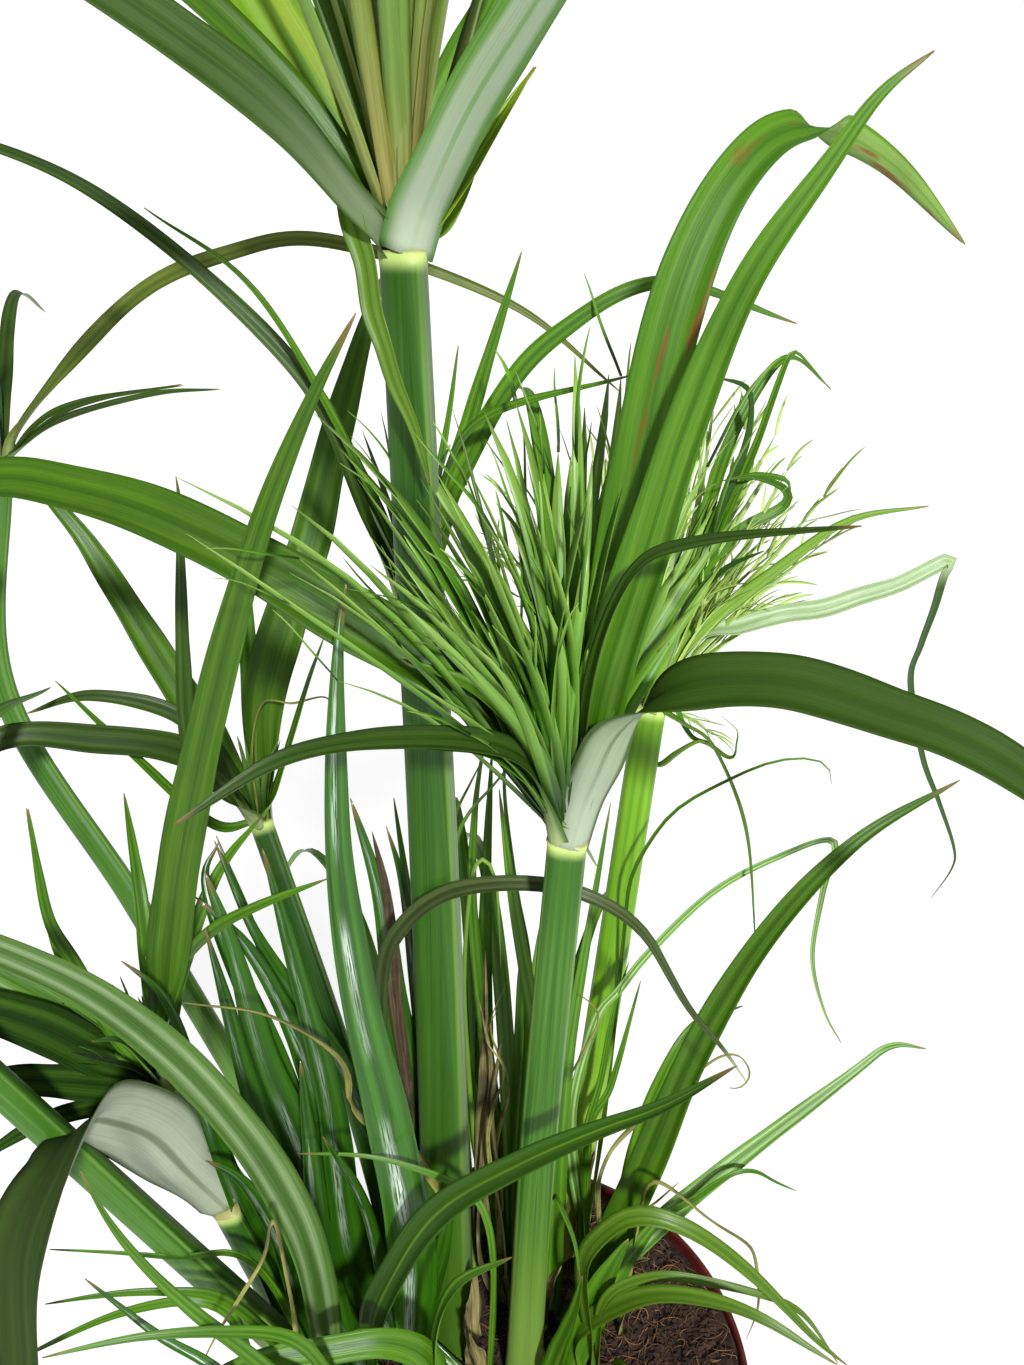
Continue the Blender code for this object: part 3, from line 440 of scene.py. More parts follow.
def spline(points, count):
    """Catmull-Rom curve: each span is the cubic that leaves and meets its ends along the line between their
    neighbours. It is read at evenly spaced lengths. Gives the points and the length run up to each."""
    p = np.asarray(points, float)
    p = np.vstack([2 * p[0] - p[1], p, 2 * p[-1] - p[-2]])
    t = np.linspace(0, 1, 16, endpoint=False)[None, :, None]
    a, b, c, d = (p[i:len(p) - 3 + i, None] for i in range(4))
    square, cube = 2 * a - 5 * b + 4 * c - d, 3 * b - 3 * c + d - a
    dense = 0.5 * (2 * b + (c - a) * t + square * t ** 2 + cube * t ** 3)
    dense = np.vstack([dense.reshape(-1, 3), p[-2]])
    run = np.concatenate([[0], np.cumsum(np.linalg.norm(np.diff(dense, axis=0), axis=1))])
    at = np.linspace(0, run[-1], count)
    return np.stack([np.interp(at, run, dense[:, axis]) for axis in range(3)], -1), at


def softened(path, times):
    """Each inner point moves to a quarter of its neighbours' sum plus half of itself, the given times
    over."""
    path = path.copy()
    for _ in range(times):
        path[1:-1] = 0.25 * path[:-2] + 0.5 * path[1:-1] + 0.25 * path[2:]
    return path


def section_frame(path, sideways, roll):
    """Side and face directions along a path: sideways made square to the run, then turned by the roll."""
    along = unit(np.gradient(path, axis=-2))
    across = unit(sideways - np.sum(along * sideways, axis=-1, keepdims=True) * along)
    up = np.cross(along, across)
    turn = np.radians(roll)[..., None]
    return np.cos(turn) * across + np.sin(turn) * up, np.cos(turn) * up - np.sin(turn) * across


def sections(path, side, face, across, out):
    """A ring at each point of a path: the point, plus across times the side direction, plus out times the
    face direction."""
    return path[..., None, :] + side[..., None, :] * across[..., None] + face[..., None, :] * out[..., None]


def turned(outline, around):
    """An outline of radius and height turned about the pot's axis: the radius times the cosine and the sine
    of each angle."""
    turn = circle(around)
    return side_by_side(outline[:, :1] * np.cos(turn), outline[:, :1] * np.sin(turn), outline[:, 1:])


# ---------------------------------------------------------------- meshes

def mesh_of(name, points, faces):
    mesh = bpy.data.meshes.new(name)
    mesh.from_pydata(points.reshape(-1, 3) * MM + (0, 0, POT_HEIGHT * MM), [], faces)
    return mesh


def place(name, mesh, finish, nodes):
    """Put a finished mesh on the plant: its material, the body it rides on and the solids that it stands
    for."""
    mesh.materials.append(FINISHES[finish])
    piece = bpy.data.objects.new(name, mesh)
    bpy.context.scene.collection.objects.link(piece)
    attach(piece, "root")
    if nodes:
        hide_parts(*nodes)
    return piece


def place_tubes(name, rings, finish, slot, nodes, **attributes):
    """Closed tubes side by side: rings is (tubes, rows, ring points, xyz), and both ends of each get a
    face. An attribute gives each point three numbers for the finish to read."""
    tubes, rows, around = rings.shape[:3]
    index = np.arange(tubes * rows * around).reshape(tubes, rows, around)
    a, b = index[:, :-1], index[:, 1:]
    quads = np.stack([a, b, np.roll(b, -1, 2), np.roll(a, -1, 2)], -1).reshape(-1, 4)
    caps = np.concatenate([index[:, 0], index[:, -1, ::-1]])
    mesh = mesh_of(name, rings, quads.tolist() + caps.tolist())
    for key, values in attributes.items():
        layer = mesh.attributes.new(key, "FLOAT_VECTOR", "POINT")
        values = np.broadcast_to(values, rings.shape)
        layer.data.foreach_set("vector", np.ascontiguousarray(values, np.float32).ravel())
    mesh.shade_smooth()
    return place(name, mesh, finish, nodes)


def leaf_rings(points, sideways, roll, width, base, taper, seed, columns=11, rows=70, fold=0.22, ridge=0.16,
               thick=0.35, soft=2, sway=4.0):
    """A leaf's closed sections. Over its width u runs from -1 to 1, and the upper face stands at fold times
    |u| less ridge times (1 - cos 2 pi u) / 2, both in half widths; the lower face is below it by the
    thickness, which is greatest in the keel at the middle. At the foot the section curls up round the stem.
    The width eases from the foot's to its full value, falls as (1 - t ^ taper) ^ 0.75 towards the tip and
    ripples by 3 per cent. The roll sways with two sines of the length, in degrees."""
    path, run = spline(points, rows)
    path = softened(path, soft)
    t = run / run[-1]
    phase = np.random.default_rng(seed).uniform(0, 6, 3)
    roll = roll(t) + sway * ease(t, 0.05, 0.3) * (np.sin(t * 7 + phase[0]) + 0.5 * np.sin(t * 17 + phase[1]))
    side, face = section_frame(path, sideways, roll)
    body = base + (width - base) * ease(t, 0.02, 0.28)
    ripple = 1 + 0.03 * np.sin(t * 31 + phase[2])
    blunt = 0.12
    half = (0.5 * body * ripple * (1 - t ** taper) ** 0.75 + blunt)[:, None]
    u = np.linspace(-1, 1, columns)
    curled = 0.5 * (1 - ease(t, 0.0, 0.16))[:, None]
    lift = (fold + curled) * np.abs(u) ** (1 + curled) - ridge * (1 - np.cos(2 * np.pi * u)) / 2
    top = sections(path, side, face, u * half, lift * half)
    keel = np.exp(-(u / 0.12) ** 2)
    depth = np.minimum(thick * (0.3 + 0.7 * (1 - u ** 2) + 0.8 * keel), 0.5 * half)
    under = top - face[:, None] * depth[..., None]
    both = np.concatenate([u, u[::-1]])
    below = np.repeat([0.0, 1.0], columns)
    leaf = side_by_side(both, t[:, None], below)
    grain = side_by_side(both * half, run[:, None], seed)
    return np.concatenate([top, under[:, ::-1]], axis=1), leaf, grain


def start_of(root):
    """The top of a stem given by name, or a place on the soil given by x and y."""
    return np.array(STEMS[root][1] if isinstance(root, str) else (*root, SOIL_TOP), float)


def by_side_view(root, heading, view, foot=None):
    """Points in the heading's upright plane, after the foot, and the level direction square to that
    plane."""
    start = start_of(root)
    outwards = level(heading)
    first = start if foot is None else foot
    points = [first, *(start + outwards * out + (0, 0, up) for out, up in view)]
    return points, np.array([-outwards[1], outwards[0], 0.0])


def make_leaves():
    """Leaves that stand for a solid each. A leaf's roll eases from the bearing of its foot to its own
    value, and some turn once more near the tip. A leaf of FREE_LEAVES keeps its roll over 0.3 of its length
    and has lost it at 0.6."""
    for seed, (name, row) in enumerate(LEAVES.items()):
        root, bearing, heading, roll, width, finish, taper, view = row
        foot = start_of(root)
        base = LEAF_FOOT * width
        if isinstance(root, str):
            stem_width = STEMS[root][2][1]
            foot = foot + level(bearing) * (FOOT_OUT * stem_width + FOOT_GAP) - (0, 0, SHEATH_DROP)
            share = SHEATHING_FOOT if name in SHEATHING else BRACT_FOOT
            base = min(share * stem_width, WIDEST_FOOT * width)
        points, sideways = by_side_view(root, heading, view, foot)
        foot_roll = (bearing - heading + 180) % 360 - 180
        first = TWISTS.get(name, (0, 0.25))
        *second, more = SECOND_TURNS.get(name, (0.5, 0.6, 0))
        rows, soft = (110, 0) if name in SHARPLY_BENT else (80, 2)
        rings, leaf, grain = leaf_rings(
            points, sideways,
            lambda t: foot_roll + (roll - foot_roll) * ease(t, *first) + more * ease(t, *second),
            width, base, taper, seed, rows=rows, soft=soft)
        place_tubes(name + "_blade", rings[None], finish, "leaf", [name], leaf=leaf, grain=grain)
    for seed, (name, row) in enumerate(FREE_LEAVES.items(), SEEDS["free leaves"]):
        width, facing, roll, finish, taper, points = row
        sideways = unit(np.cross(facing, np.subtract(points[-1], points[0])))
        rings, leaf, grain = leaf_rings(points, sideways, lambda t: roll * ease(t, 0.6, 0.3), width,
                                        FREE_FOOT * width, taper, seed, sway=1.0)
        place_tubes(name + "_blade", rings[None], finish, "leaf", [name], leaf=leaf, grain=grain)


def joined(name, plan, finish, nodes, first_seed, **shape):
    """Several small leaves in one mesh; each row of the plan is root, heading, roll, width, side view. The
    roll eases in over the first fifth."""
    made = []
    for seed, (root, heading, roll, width, view) in enumerate(plan, first_seed):
        points, sideways = by_side_view(root, heading, view)
        made.append(leaf_rings(points, sideways, lambda t: roll * ease(t, 0, 0.2), width, SMALL_FOOT * width,
                               seed=seed, **shape))
    rings, leaf, grain = (np.stack(part) for part in zip(*made))
    place_tubes(name, rings, finish, "leaf", nodes, leaf=leaf, grain=grain)


def make_small_leaves():
    for number, (name, (stem, finish, rows)) in enumerate(THIN_BRACTS.items()):
        plan = [(stem, *row) for row in rows]
        joined(name + "_thin_bracts", plan, finish, ["umbel_" + stem],
               SEEDS["thin bracts"] + SEED_STEP * number, **SMALL_LEAF)
    for number, (name, (knob, finish, rows)) in enumerate(TUFTS.items()):
        plan = [(knob, *row) for row in rows]
        joined(f"tuft_{name}_leaves", plan, finish, ["tuft_" + name],
               SEEDS["tufts"] + SEED_STEP * number, **SMALL_LEAF)
    joined("filling_leaves", FILLING, "clump", [], SEEDS["filling"], **SMALL_LEAF)
    joined("filling_leaves_outer", OUTER_FILLING, "bright", [], SEEDS["outer filling"], **SMALL_LEAF)
    strands = [(root, heading, STRAND_ROLL, width, view) for root, heading, width, view in STRANDS]
    joined("dry_strands", strands, "dry", [], SEEDS["strands"], **STRAND)
    for name, finish, rows in (
            ("dark_sheaths", "dark_papery", DARK_SHEATHS), ("dry_sheaths", "papery", SHEATHS)):
        plan = [(root, heading, SHEATH_ROLL, width, view) for root, heading, width, view in rows]
        joined(name, plan, finish, [], SEEDS[name], **SHEATH)


def make_stems():
    """Each stem's section is three-cornered: the radius swells by 12 per cent with the cosine of three
    times the angle. The radius runs evenly from base to top, with 12 per cent more at the foot, dying away
    as e ^ (-run / 12), and 5 per cent more in the low ring at the node, where the bracts spring. The
    attribute side is 1 on the face that looks to the right as the plant is seen, where the stem finish
    paints a highlight."""
    rows, around = 100, 36
    depth_in_soil, swell, foot_swell, ring_swell = 3.0, 0.12, 0.12, 0.05
    turn = circle(around)[::-1]
    for seed, (name, (base, top, (base_width, top_width), bows)) in enumerate(STEMS.items()):
        foot = np.array([*base, SOIL_TOP - depth_in_soil])
        head = np.array(top, float)
        through = foot + (head - foot) * np.linspace(0, 1, len(bows) + 2)[:, None]
        through[1:-1, :2] += bows
        path, run = spline(through, rows)
        t = run / run[-1]
        left = run[-1] - run
        radius = (base_width + (top_width - base_width) * t) / 2
        radius = radius * (1 + ring_swell * np.exp(-(left / 1.2) ** 2) + foot_swell * np.exp(-run / 12.0))
        side, face = section_frame(path, np.array([1.0, 0, 0]), 8 * np.sin(t * 3 + seed))
        cornered = turn + math.radians(30 + CORNER_TURNS.get(name, 0))
        corner = np.cos(3 * cornered)
        # a face spans 120 degrees from corner to corner, of which 4 are left out on each side
        # the face that gets a painted highlight in the stem finish
        highlight_face = (np.abs(cornered % math.tau - math.radians(60)) < math.radians(56)) * 1.0
        ring = radius[:, None] * (1 + swell * corner)
        rings = sections(path, side, face, ring * np.cos(turn), ring * np.sin(turn))
        arc = np.abs((turn + math.pi / 2) % math.tau - math.pi) * radius[:, None]
        place_tubes("culm_" + name, rings[None], STEM_FINISHES.get(name, "culm"), "stem", ["stem_" + name],
                    leaf=side_by_side(corner, t[:, None], left[:, None]),
                    grain=side_by_side(arc, run[:, None], SEEDS["stems"] + seed),
                    side=side_by_side(highlight_face, t[:, None], 0.0))


def ray_rings(starts, headings, leans, lengths, widths, bend, seed):
    """Rays as closed six-cornered blades folded along the middle. The lean of a ray grows by the bend from
    its foot to its tip, the points are the running sum of the steps taken at each lean, and the width falls
    as (1 - t ^ 2) ^ 0.6. Lean and heading waver by a sine of 5 and 7 degrees."""
    rng = np.random.default_rng(seed)
    many, blunt = len(headings), 0.08
    t = np.linspace(0, 1, RAY_ROWS)
    lean = np.radians(leans[:, None] + bend * (t - 0.5) + 5 * np.sin(5 * t + rng.uniform(0, 6, (many, 1))))
    turn = headings[:, None] + 7 * np.sin(4 * t + rng.uniform(0, 6, (many, 1)))
    out = level(turn)
    step = np.sin(lean)[..., None] * out + np.cos(lean)[..., None] * np.array([0, 0, 1.0])
    path = np.cumsum(step, axis=1) * (lengths / (RAY_ROWS - 1))[:, None, None]
    path = starts[:, None] + path - path[:, :1]
    sideways = side_by_side(-out[..., 1], out[..., 0], 0.0)
    side, face = section_frame(path, sideways, rng.uniform(-40, 40, (many, 1)) + 20 * t)
    half = 0.5 * widths[:, None] * (0.75 + 0.25 * ease(t, 0, 0.4)) * (1 - t ** 2) ** 0.6
    half = (half + blunt)[..., None]
    u, lift, below = np.array(RAY_CORNERS).T
    rings = sections(path, side, face, u * half, lift * half)
    along = t[None, :, None]
    number = rng.uniform(0, 50, many)[:, None, None]
    leaf = np.broadcast_to(side_by_side(u, along, below), rings.shape)
    grain = side_by_side(u * half, along * lengths[:, None, None], number)
    return path, (rings, leaf, grain)


def make_umbels():
    """Each umbel is a sheaf of rays from one stem's top, with fine branches near the tips of the rays. A
    branch starts on the outer half of its ray and leaves it at up to about 35 degrees."""
    for number, (name, row) in enumerate(UMBELS.items()):
        placed, count, length, widest, width, (low, high), bend, finish, branches, branch_length = row
        rng = np.random.default_rng(SEEDS["umbels"] + number)
        placed = np.array(placed, float).reshape(-1, 4) * (1, 1, 1, PLACED_WIDTHS)
        others = side_by_side(rng.uniform(low, high, count), widest * rng.uniform(0.05, 1, count) ** 0.8,
                              length * rng.uniform(0.6, 1.05, count), width * rng.uniform(0.7, 1.15, count))
        heading, lean, reach, wide = np.concatenate([placed, others]).T
        ring = rng.uniform(0.8, 2.6, (len(heading), 1)) * (lean > 3)[:, None]
        starts = start_of(name) + RAY_SHIFT + level(heading) * ring
        path, rays = ray_rings(starts, heading, lean, reach, wide, bend, number)
        parts = [rays]
        if branches:
            which = np.repeat(np.arange(len(heading)), branches)
            many = len(which)
            at = rng.integers(RAY_ROWS // 2, RAY_ROWS, many)
            point = path[which, at]
            run = unit(unit(point - path[which, at - 1]) + BRANCH_STRAY * rng.normal(0, 1, (many, 3)))
            heading = np.degrees(np.arctan2(run[:, 1], run[:, 0]))
            lean = np.degrees(np.arccos(run[:, 2]))
            reach = branch_length * rng.uniform(0.5, 1.3, many)
            wide = rng.uniform(0.5, 1.1, many)
            seed = SEEDS["branches"] + number
            parts.append(ray_rings(point, heading, lean, reach, wide, BRANCH_BEND, seed)[1])
        rings, leaf, grain = (np.concatenate(part) for part in zip(*parts))
        place_tubes(name + "_rays", rings, finish, "ray", ["umbel_" + name], leaf=leaf, grain=grain)


# ---------------------------------------------------------------- pot and soil

def soil_height(x, y):
    """Soil surface over the rim's plane: a level with waves of three lengths, rising by the pot's wall."""
    waves = 1.1 * np.sin(x / 9 + 1) * np.sin(y / 11 + 2) + 0.6 * np.sin(x / 3.7 + y / 5) \
        + 0.35 * np.sin(x / 1.9 - y / 2.3)
    return SOIL_TOP + 1.2 + waves + 2.2 * ease(np.hypot(x, y), 36, 66)


def make_soil():
    """A disc on a polar grid that follows the soil's height, closed below by a ball of soil that tapers
    with the pot's inside."""
    around, steps, gap = 200, 70, 0.5
    turn = circle(around)
    radius = np.linspace(0.6, RIM_RADIUS - POT_WALL - gap, steps)[::-1, None]
    x, y = radius * np.cos(turn), radius * np.sin(turn)
    top = np.stack([x, y, soil_height(x, y)], -1)
    inside = RIM_RADIUS - POT_WALL - POT_SLOPE * COLLAR_HEIGHT - 0.7
    skirt = np.array([(FOOT_RADIUS - POT_WALL - 1.4, POT_FLOOR - POT_HEIGHT + 0.3),
                      (inside - COLLAR_STEP, -COLLAR_HEIGHT - 2), (inside, -COLLAR_HEIGHT + 3)])
    rings = np.concatenate([turned(skirt, around), top])[None]
    place_tubes("soil_ball", rings, "soil", "soil", ["soil"])
    rng = np.random.default_rng(SEEDS["soil"])
    make_crumbs(rng)
    make_fibres(rng)


def make_crumbs(rng):
    """Eight-sided crumbs strewn over the disc: the root of an even draw, times the reach, is how far out
    each lies. Each corner is out of true by up to a fifth of the crumb's size."""
    ring = (RIM_RADIUS - POT_WALL - 3) * np.sqrt(rng.uniform(0, 1, CRUMBS))
    angle = rng.uniform(0, math.tau, CRUMBS)
    size = rng.uniform(0.4, 1.4, (CRUMBS, 1, 1)) ** 1.3
    corners = np.array([(1, 0, 0), (0, 1, 0), (-1, 0, 0), (0, -1, 0), (0, 0, 0.8), (0, 0, -0.8)], float)
    shape = corners[None] * size * rng.uniform(0.6, 1.3, (CRUMBS, 6, 1))
    shape = shape + size * rng.uniform(-0.2, 0.2, (CRUMBS, 6, 3))
    x, y = ring * np.cos(angle), ring * np.sin(angle)
    points = shape + np.stack([x, y, soil_height(x, y) + 0.2], -1)[:, None]
    upper = [(0, 1, 4), (1, 2, 4), (2, 3, 4), (3, 0, 4)]
    lower = [(1, 0, 5), (2, 1, 5), (3, 2, 5), (0, 3, 5)]
    faces = (np.array(upper + lower)[None] + 6 * np.arange(CRUMBS)[:, None, None]).reshape(-1, 3)
    place("soil_crumbs", mesh_of("soil_crumbs", points, faces.tolist()), "soil", [])


def make_fibres(rng):
    """Three-sided fibres strewn over the disc and kept inside the pot: each turns evenly along its length
    and stands off the soil by half a wave of the cosine."""
    rows = 7
    column = (FIBRES, 1)
    s = np.linspace(-0.5, 0.5, rows)
    length = rng.uniform(1.5, 11, column)
    ring = (RIM_RADIUS - POT_WALL - 1) * np.sqrt(rng.uniform(0.02, 1, column))
    angle = rng.uniform(0, math.tau, column)
    heading = rng.uniform(0, math.tau, column) + rng.uniform(-1.2, 1.2, column) * s
    x = ring * np.cos(angle) + length * s * np.cos(heading)
    y = ring * np.sin(angle) + length * s * np.sin(heading)
    reach = np.maximum(np.hypot(x, y) / (RIM_RADIUS - POT_WALL - 1.2), 1)
    x, y = x / reach, y / reach
    hump = rng.uniform(0, 2.2, column) * np.cos(math.pi * s) * rng.uniform(-0.4, 1, column)
    path = np.stack([x, y, soil_height(x, y) + 0.5 + hump], -1)
    side, face = section_frame(path, np.array([0, 0, 1.0]), np.zeros((FIBRES, rows)))
    thin = (rng.uniform(0.08, 0.22, column) * (1 - 0.7 * (2 * s) ** 2))[..., None]
    corner = np.array([0, 2, 4]) * math.pi / 3
    rings = sections(path, side, face, thin * np.cos(corner), thin * np.sin(corner))[:, :, ::-1]
    grain = side_by_side(0.0, (length * s)[..., None], rng.uniform(0, 40, FIBRES)[:, None, None])
    place_tubes("soil_fibres", rings, "fibre", "soil", [], grain=grain)


def make_pot():
    """The pot's outline turned about its axis: a round lip, a collar, a tapered wall and a floor with drain
    holes. The inside follows the outside at the wall's thickness. The holes are cut by straight
    cylinders."""
    rim, foot, top, wall = RIM_RADIUS, FOOT_RADIUS, POT_HEIGHT, POT_WALL
    collar_foot = top - COLLAR_HEIGHT
    collar = rim - POT_SLOPE * COLLAR_HEIGHT
    below = rim - COLLAR_STEP - POT_SLOPE * COLLAR_HEIGHT
    outline = np.array([
        (0.001, 0), (foot - 2.4, 0), (foot - 0.8, 0.4), (foot, 1.6),
        (below - 0.02, collar_foot - 1.2), (below + 0.3, collar_foot - 0.3),
        (collar - 0.6, collar_foot), (collar, collar_foot + 0.7),
        (rim - 0.9, top - 3.0), (rim - 0.1, top - 2.2), (rim, top - 1.0), (rim - 0.3, top - 0.2),
        (rim - 0.9, top), (rim - wall, top - 0.3), (rim - wall - 0.2, top - 1.2),
        (rim - wall - POT_SLOPE * COLLAR_HEIGHT, collar_foot + 1), (below - wall, collar_foot - 1),
        (foot - wall, POT_FLOOR + 1), (foot - wall - 1, POT_FLOOR), (0.001, POT_FLOOR)])
    pot = place_tubes("nursery_pot", turned(outline - (0, top), 160)[None], "pot", "pot", ["pot"])
    angle, fine = np.arange(DRAINS) * math.tau / DRAINS, circle(40)
    spots = side_by_side(np.cos(angle), np.sin(angle), 0.0)[:, None, None] * DRAIN_RING
    drain = side_by_side(np.cos(fine), np.sin(fine), 0.0) * DRAIN_RADIUS
    ends = np.array([(0, 0, -2.0), (0, 0, POT_FLOOR + 2)]) - (0, 0, top)
    drill = place_tubes("drill", spots + drain + ends[:, None], "pot", "pot", [])
    pot.modifiers.new("drains", "BOOLEAN").object = drill
    whole = bpy.data.meshes.new_from_object(pot.evaluated_get(bpy.context.evaluated_depsgraph_get()))
    pot.modifiers.clear()
    pot.data = whole
    bpy.data.objects.remove(drill)


# ---------------------------------------------------------------- finishes

def screen(r, g, b):
    """A colour given as 0 to 255 screen values, as the shader wants it."""
    values = np.array([r, g, b]) / 255
    linear = np.where(values < 0.04045, values / 12.92, ((values + 0.055) / 1.055) ** 2.4)
    return (*linear.tolist(), 1.0)


class Wires:
    """Short calls for the nodes of one material. An input may be a number, another node's output, or a
    colour: three screen values, or the four that the shader wants."""

    def __init__(self, name):
        self.material = bpy.data.materials.new(name)
        self.material.use_nodes = True
        self.tree = self.material.node_tree
        self.shader = self.tree.nodes["Principled BSDF"]

    def set(self, socket, value):
        if isinstance(value, bpy.types.NodeSocket):
            self.tree.links.new(value, socket)
        else:
            plain = not isinstance(value, tuple) or len(value) == 4
            socket.default_value = value if plain else screen(*value)

    def skin(self, colour, roughness, normal, **fixed):
        """The shader's colour, roughness and normal, and settings that are the same all over."""
        self.set(self.shader.inputs["Base Color"], colour)
        self.set(self.shader.inputs["Roughness"], roughness)
        self.set(self.shader.inputs["Normal"], normal)
        for key, value in fixed.items():
            self.shader.inputs[key.replace("_", " ")].default_value = value
        return self.material

    def math(self, operation, a, b=0.0):
        node = self.tree.nodes.new("ShaderNodeMath")
        node.operation = operation
        self.set(node.inputs[0], a)
        self.set(node.inputs[1], b)
        return node.outputs[0]

    def times(self, a, b):
        return self.math("MULTIPLY", a, b)

    def off(self, value, centre):
        """How far a value is from the centre, either way."""
        return self.math("ABSOLUTE", self.math("SUBTRACT", value, centre))

    def step(self, value, low, high):
        """0 at low and 1 at high with a smooth change between; the other way round where low is above
        high."""
        node = self.tree.nodes.new("ShaderNodeMapRange")
        node.interpolation_type = "SMOOTHSTEP"
        self.set(node.inputs["Value"], value)
        turned_round = low > high
        node.inputs["From Min"].default_value = min(low, high)
        node.inputs["From Max"].default_value = max(low, high)
        node.inputs["To Min"].default_value = 1.0 if turned_round else 0.0
        node.inputs["To Max"].default_value = 0.0 if turned_round else 1.0
        return node.outputs["Result"]

    def scaled(self, value, low, high):
        """A value of 0 to 1 spread evenly from low to high."""
        node = self.tree.nodes.new("ShaderNodeMapRange")
        self.set(node.inputs["Value"], value)
        node.inputs["To Min"].default_value = low
        node.inputs["To Max"].default_value = high
        return node.outputs["Result"]

    def mix(self, share, a, b):
        """Colour a with the share of b laid over it."""
        node = self.tree.nodes.new("ShaderNodeMix")
        node.data_type = "RGBA"
        self.set(node.inputs[0], share)
        self.set(node.inputs[6], a)
        self.set(node.inputs[7], b)
        return node.outputs[2]

    def over(self, colour, value, low, high, most, top):
        """The top colour laid over another where the value steps from low to high, by the share most."""
        return self.mix(self.times(self.step(value, low, high), most), colour, top)

    def point(self, x, y, z):
        node = self.tree.nodes.new("ShaderNodeCombineXYZ")
        for socket, value in zip(node.inputs, (x, y, z)):
            self.set(socket, value)
        return node.outputs[0]

    def parts(self, name):
        """The three numbers of a mesh attribute."""
        source = self.tree.nodes.new("ShaderNodeAttribute")
        source.attribute_name = name
        node = self.tree.nodes.new("ShaderNodeSeparateXYZ")
        self.tree.links.new(source.outputs["Vector"], node.inputs[0])
        return node.outputs

    def noise(self, vector, scale=1.0, detail=2.0, rough=0.5):
        node = self.tree.nodes.new("ShaderNodeTexNoise")
        self.set(node.inputs["Vector"], vector)
        node.inputs["Scale"].default_value = scale
        node.inputs["Detail"].default_value = detail
        node.inputs["Roughness"].default_value = rough
        return node.outputs["Fac"]

    def streaks(self, across, along, detail=2.0):
        """Noise drawn out along a leaf or stem: its steps per millimetre across and along."""
        x, y, seed = self.parts("grain")
        return self.noise(self.point(self.times(x, across), self.times(y, along), seed), 1.0, detail, 0.6)

    def place(self):
        return self.tree.nodes.new("ShaderNodeTexCoord").outputs["Object"]

    def bump(self, height, strength, distance):
        node = self.tree.nodes.new("ShaderNodeBump")
        node.inputs["Strength"].default_value = strength
        node.inputs["Distance"].default_value = distance
        self.set(node.inputs["Height"], height)
        return node.outputs["Normal"]


BLOTCH = (16, 36, 6)
YELLOWED = (166, 166, 40)
RUST = (122, 66, 26)
# colour of the painted highlight on glossy leaves
PAINTED_GLARE = (226, 240, 230)


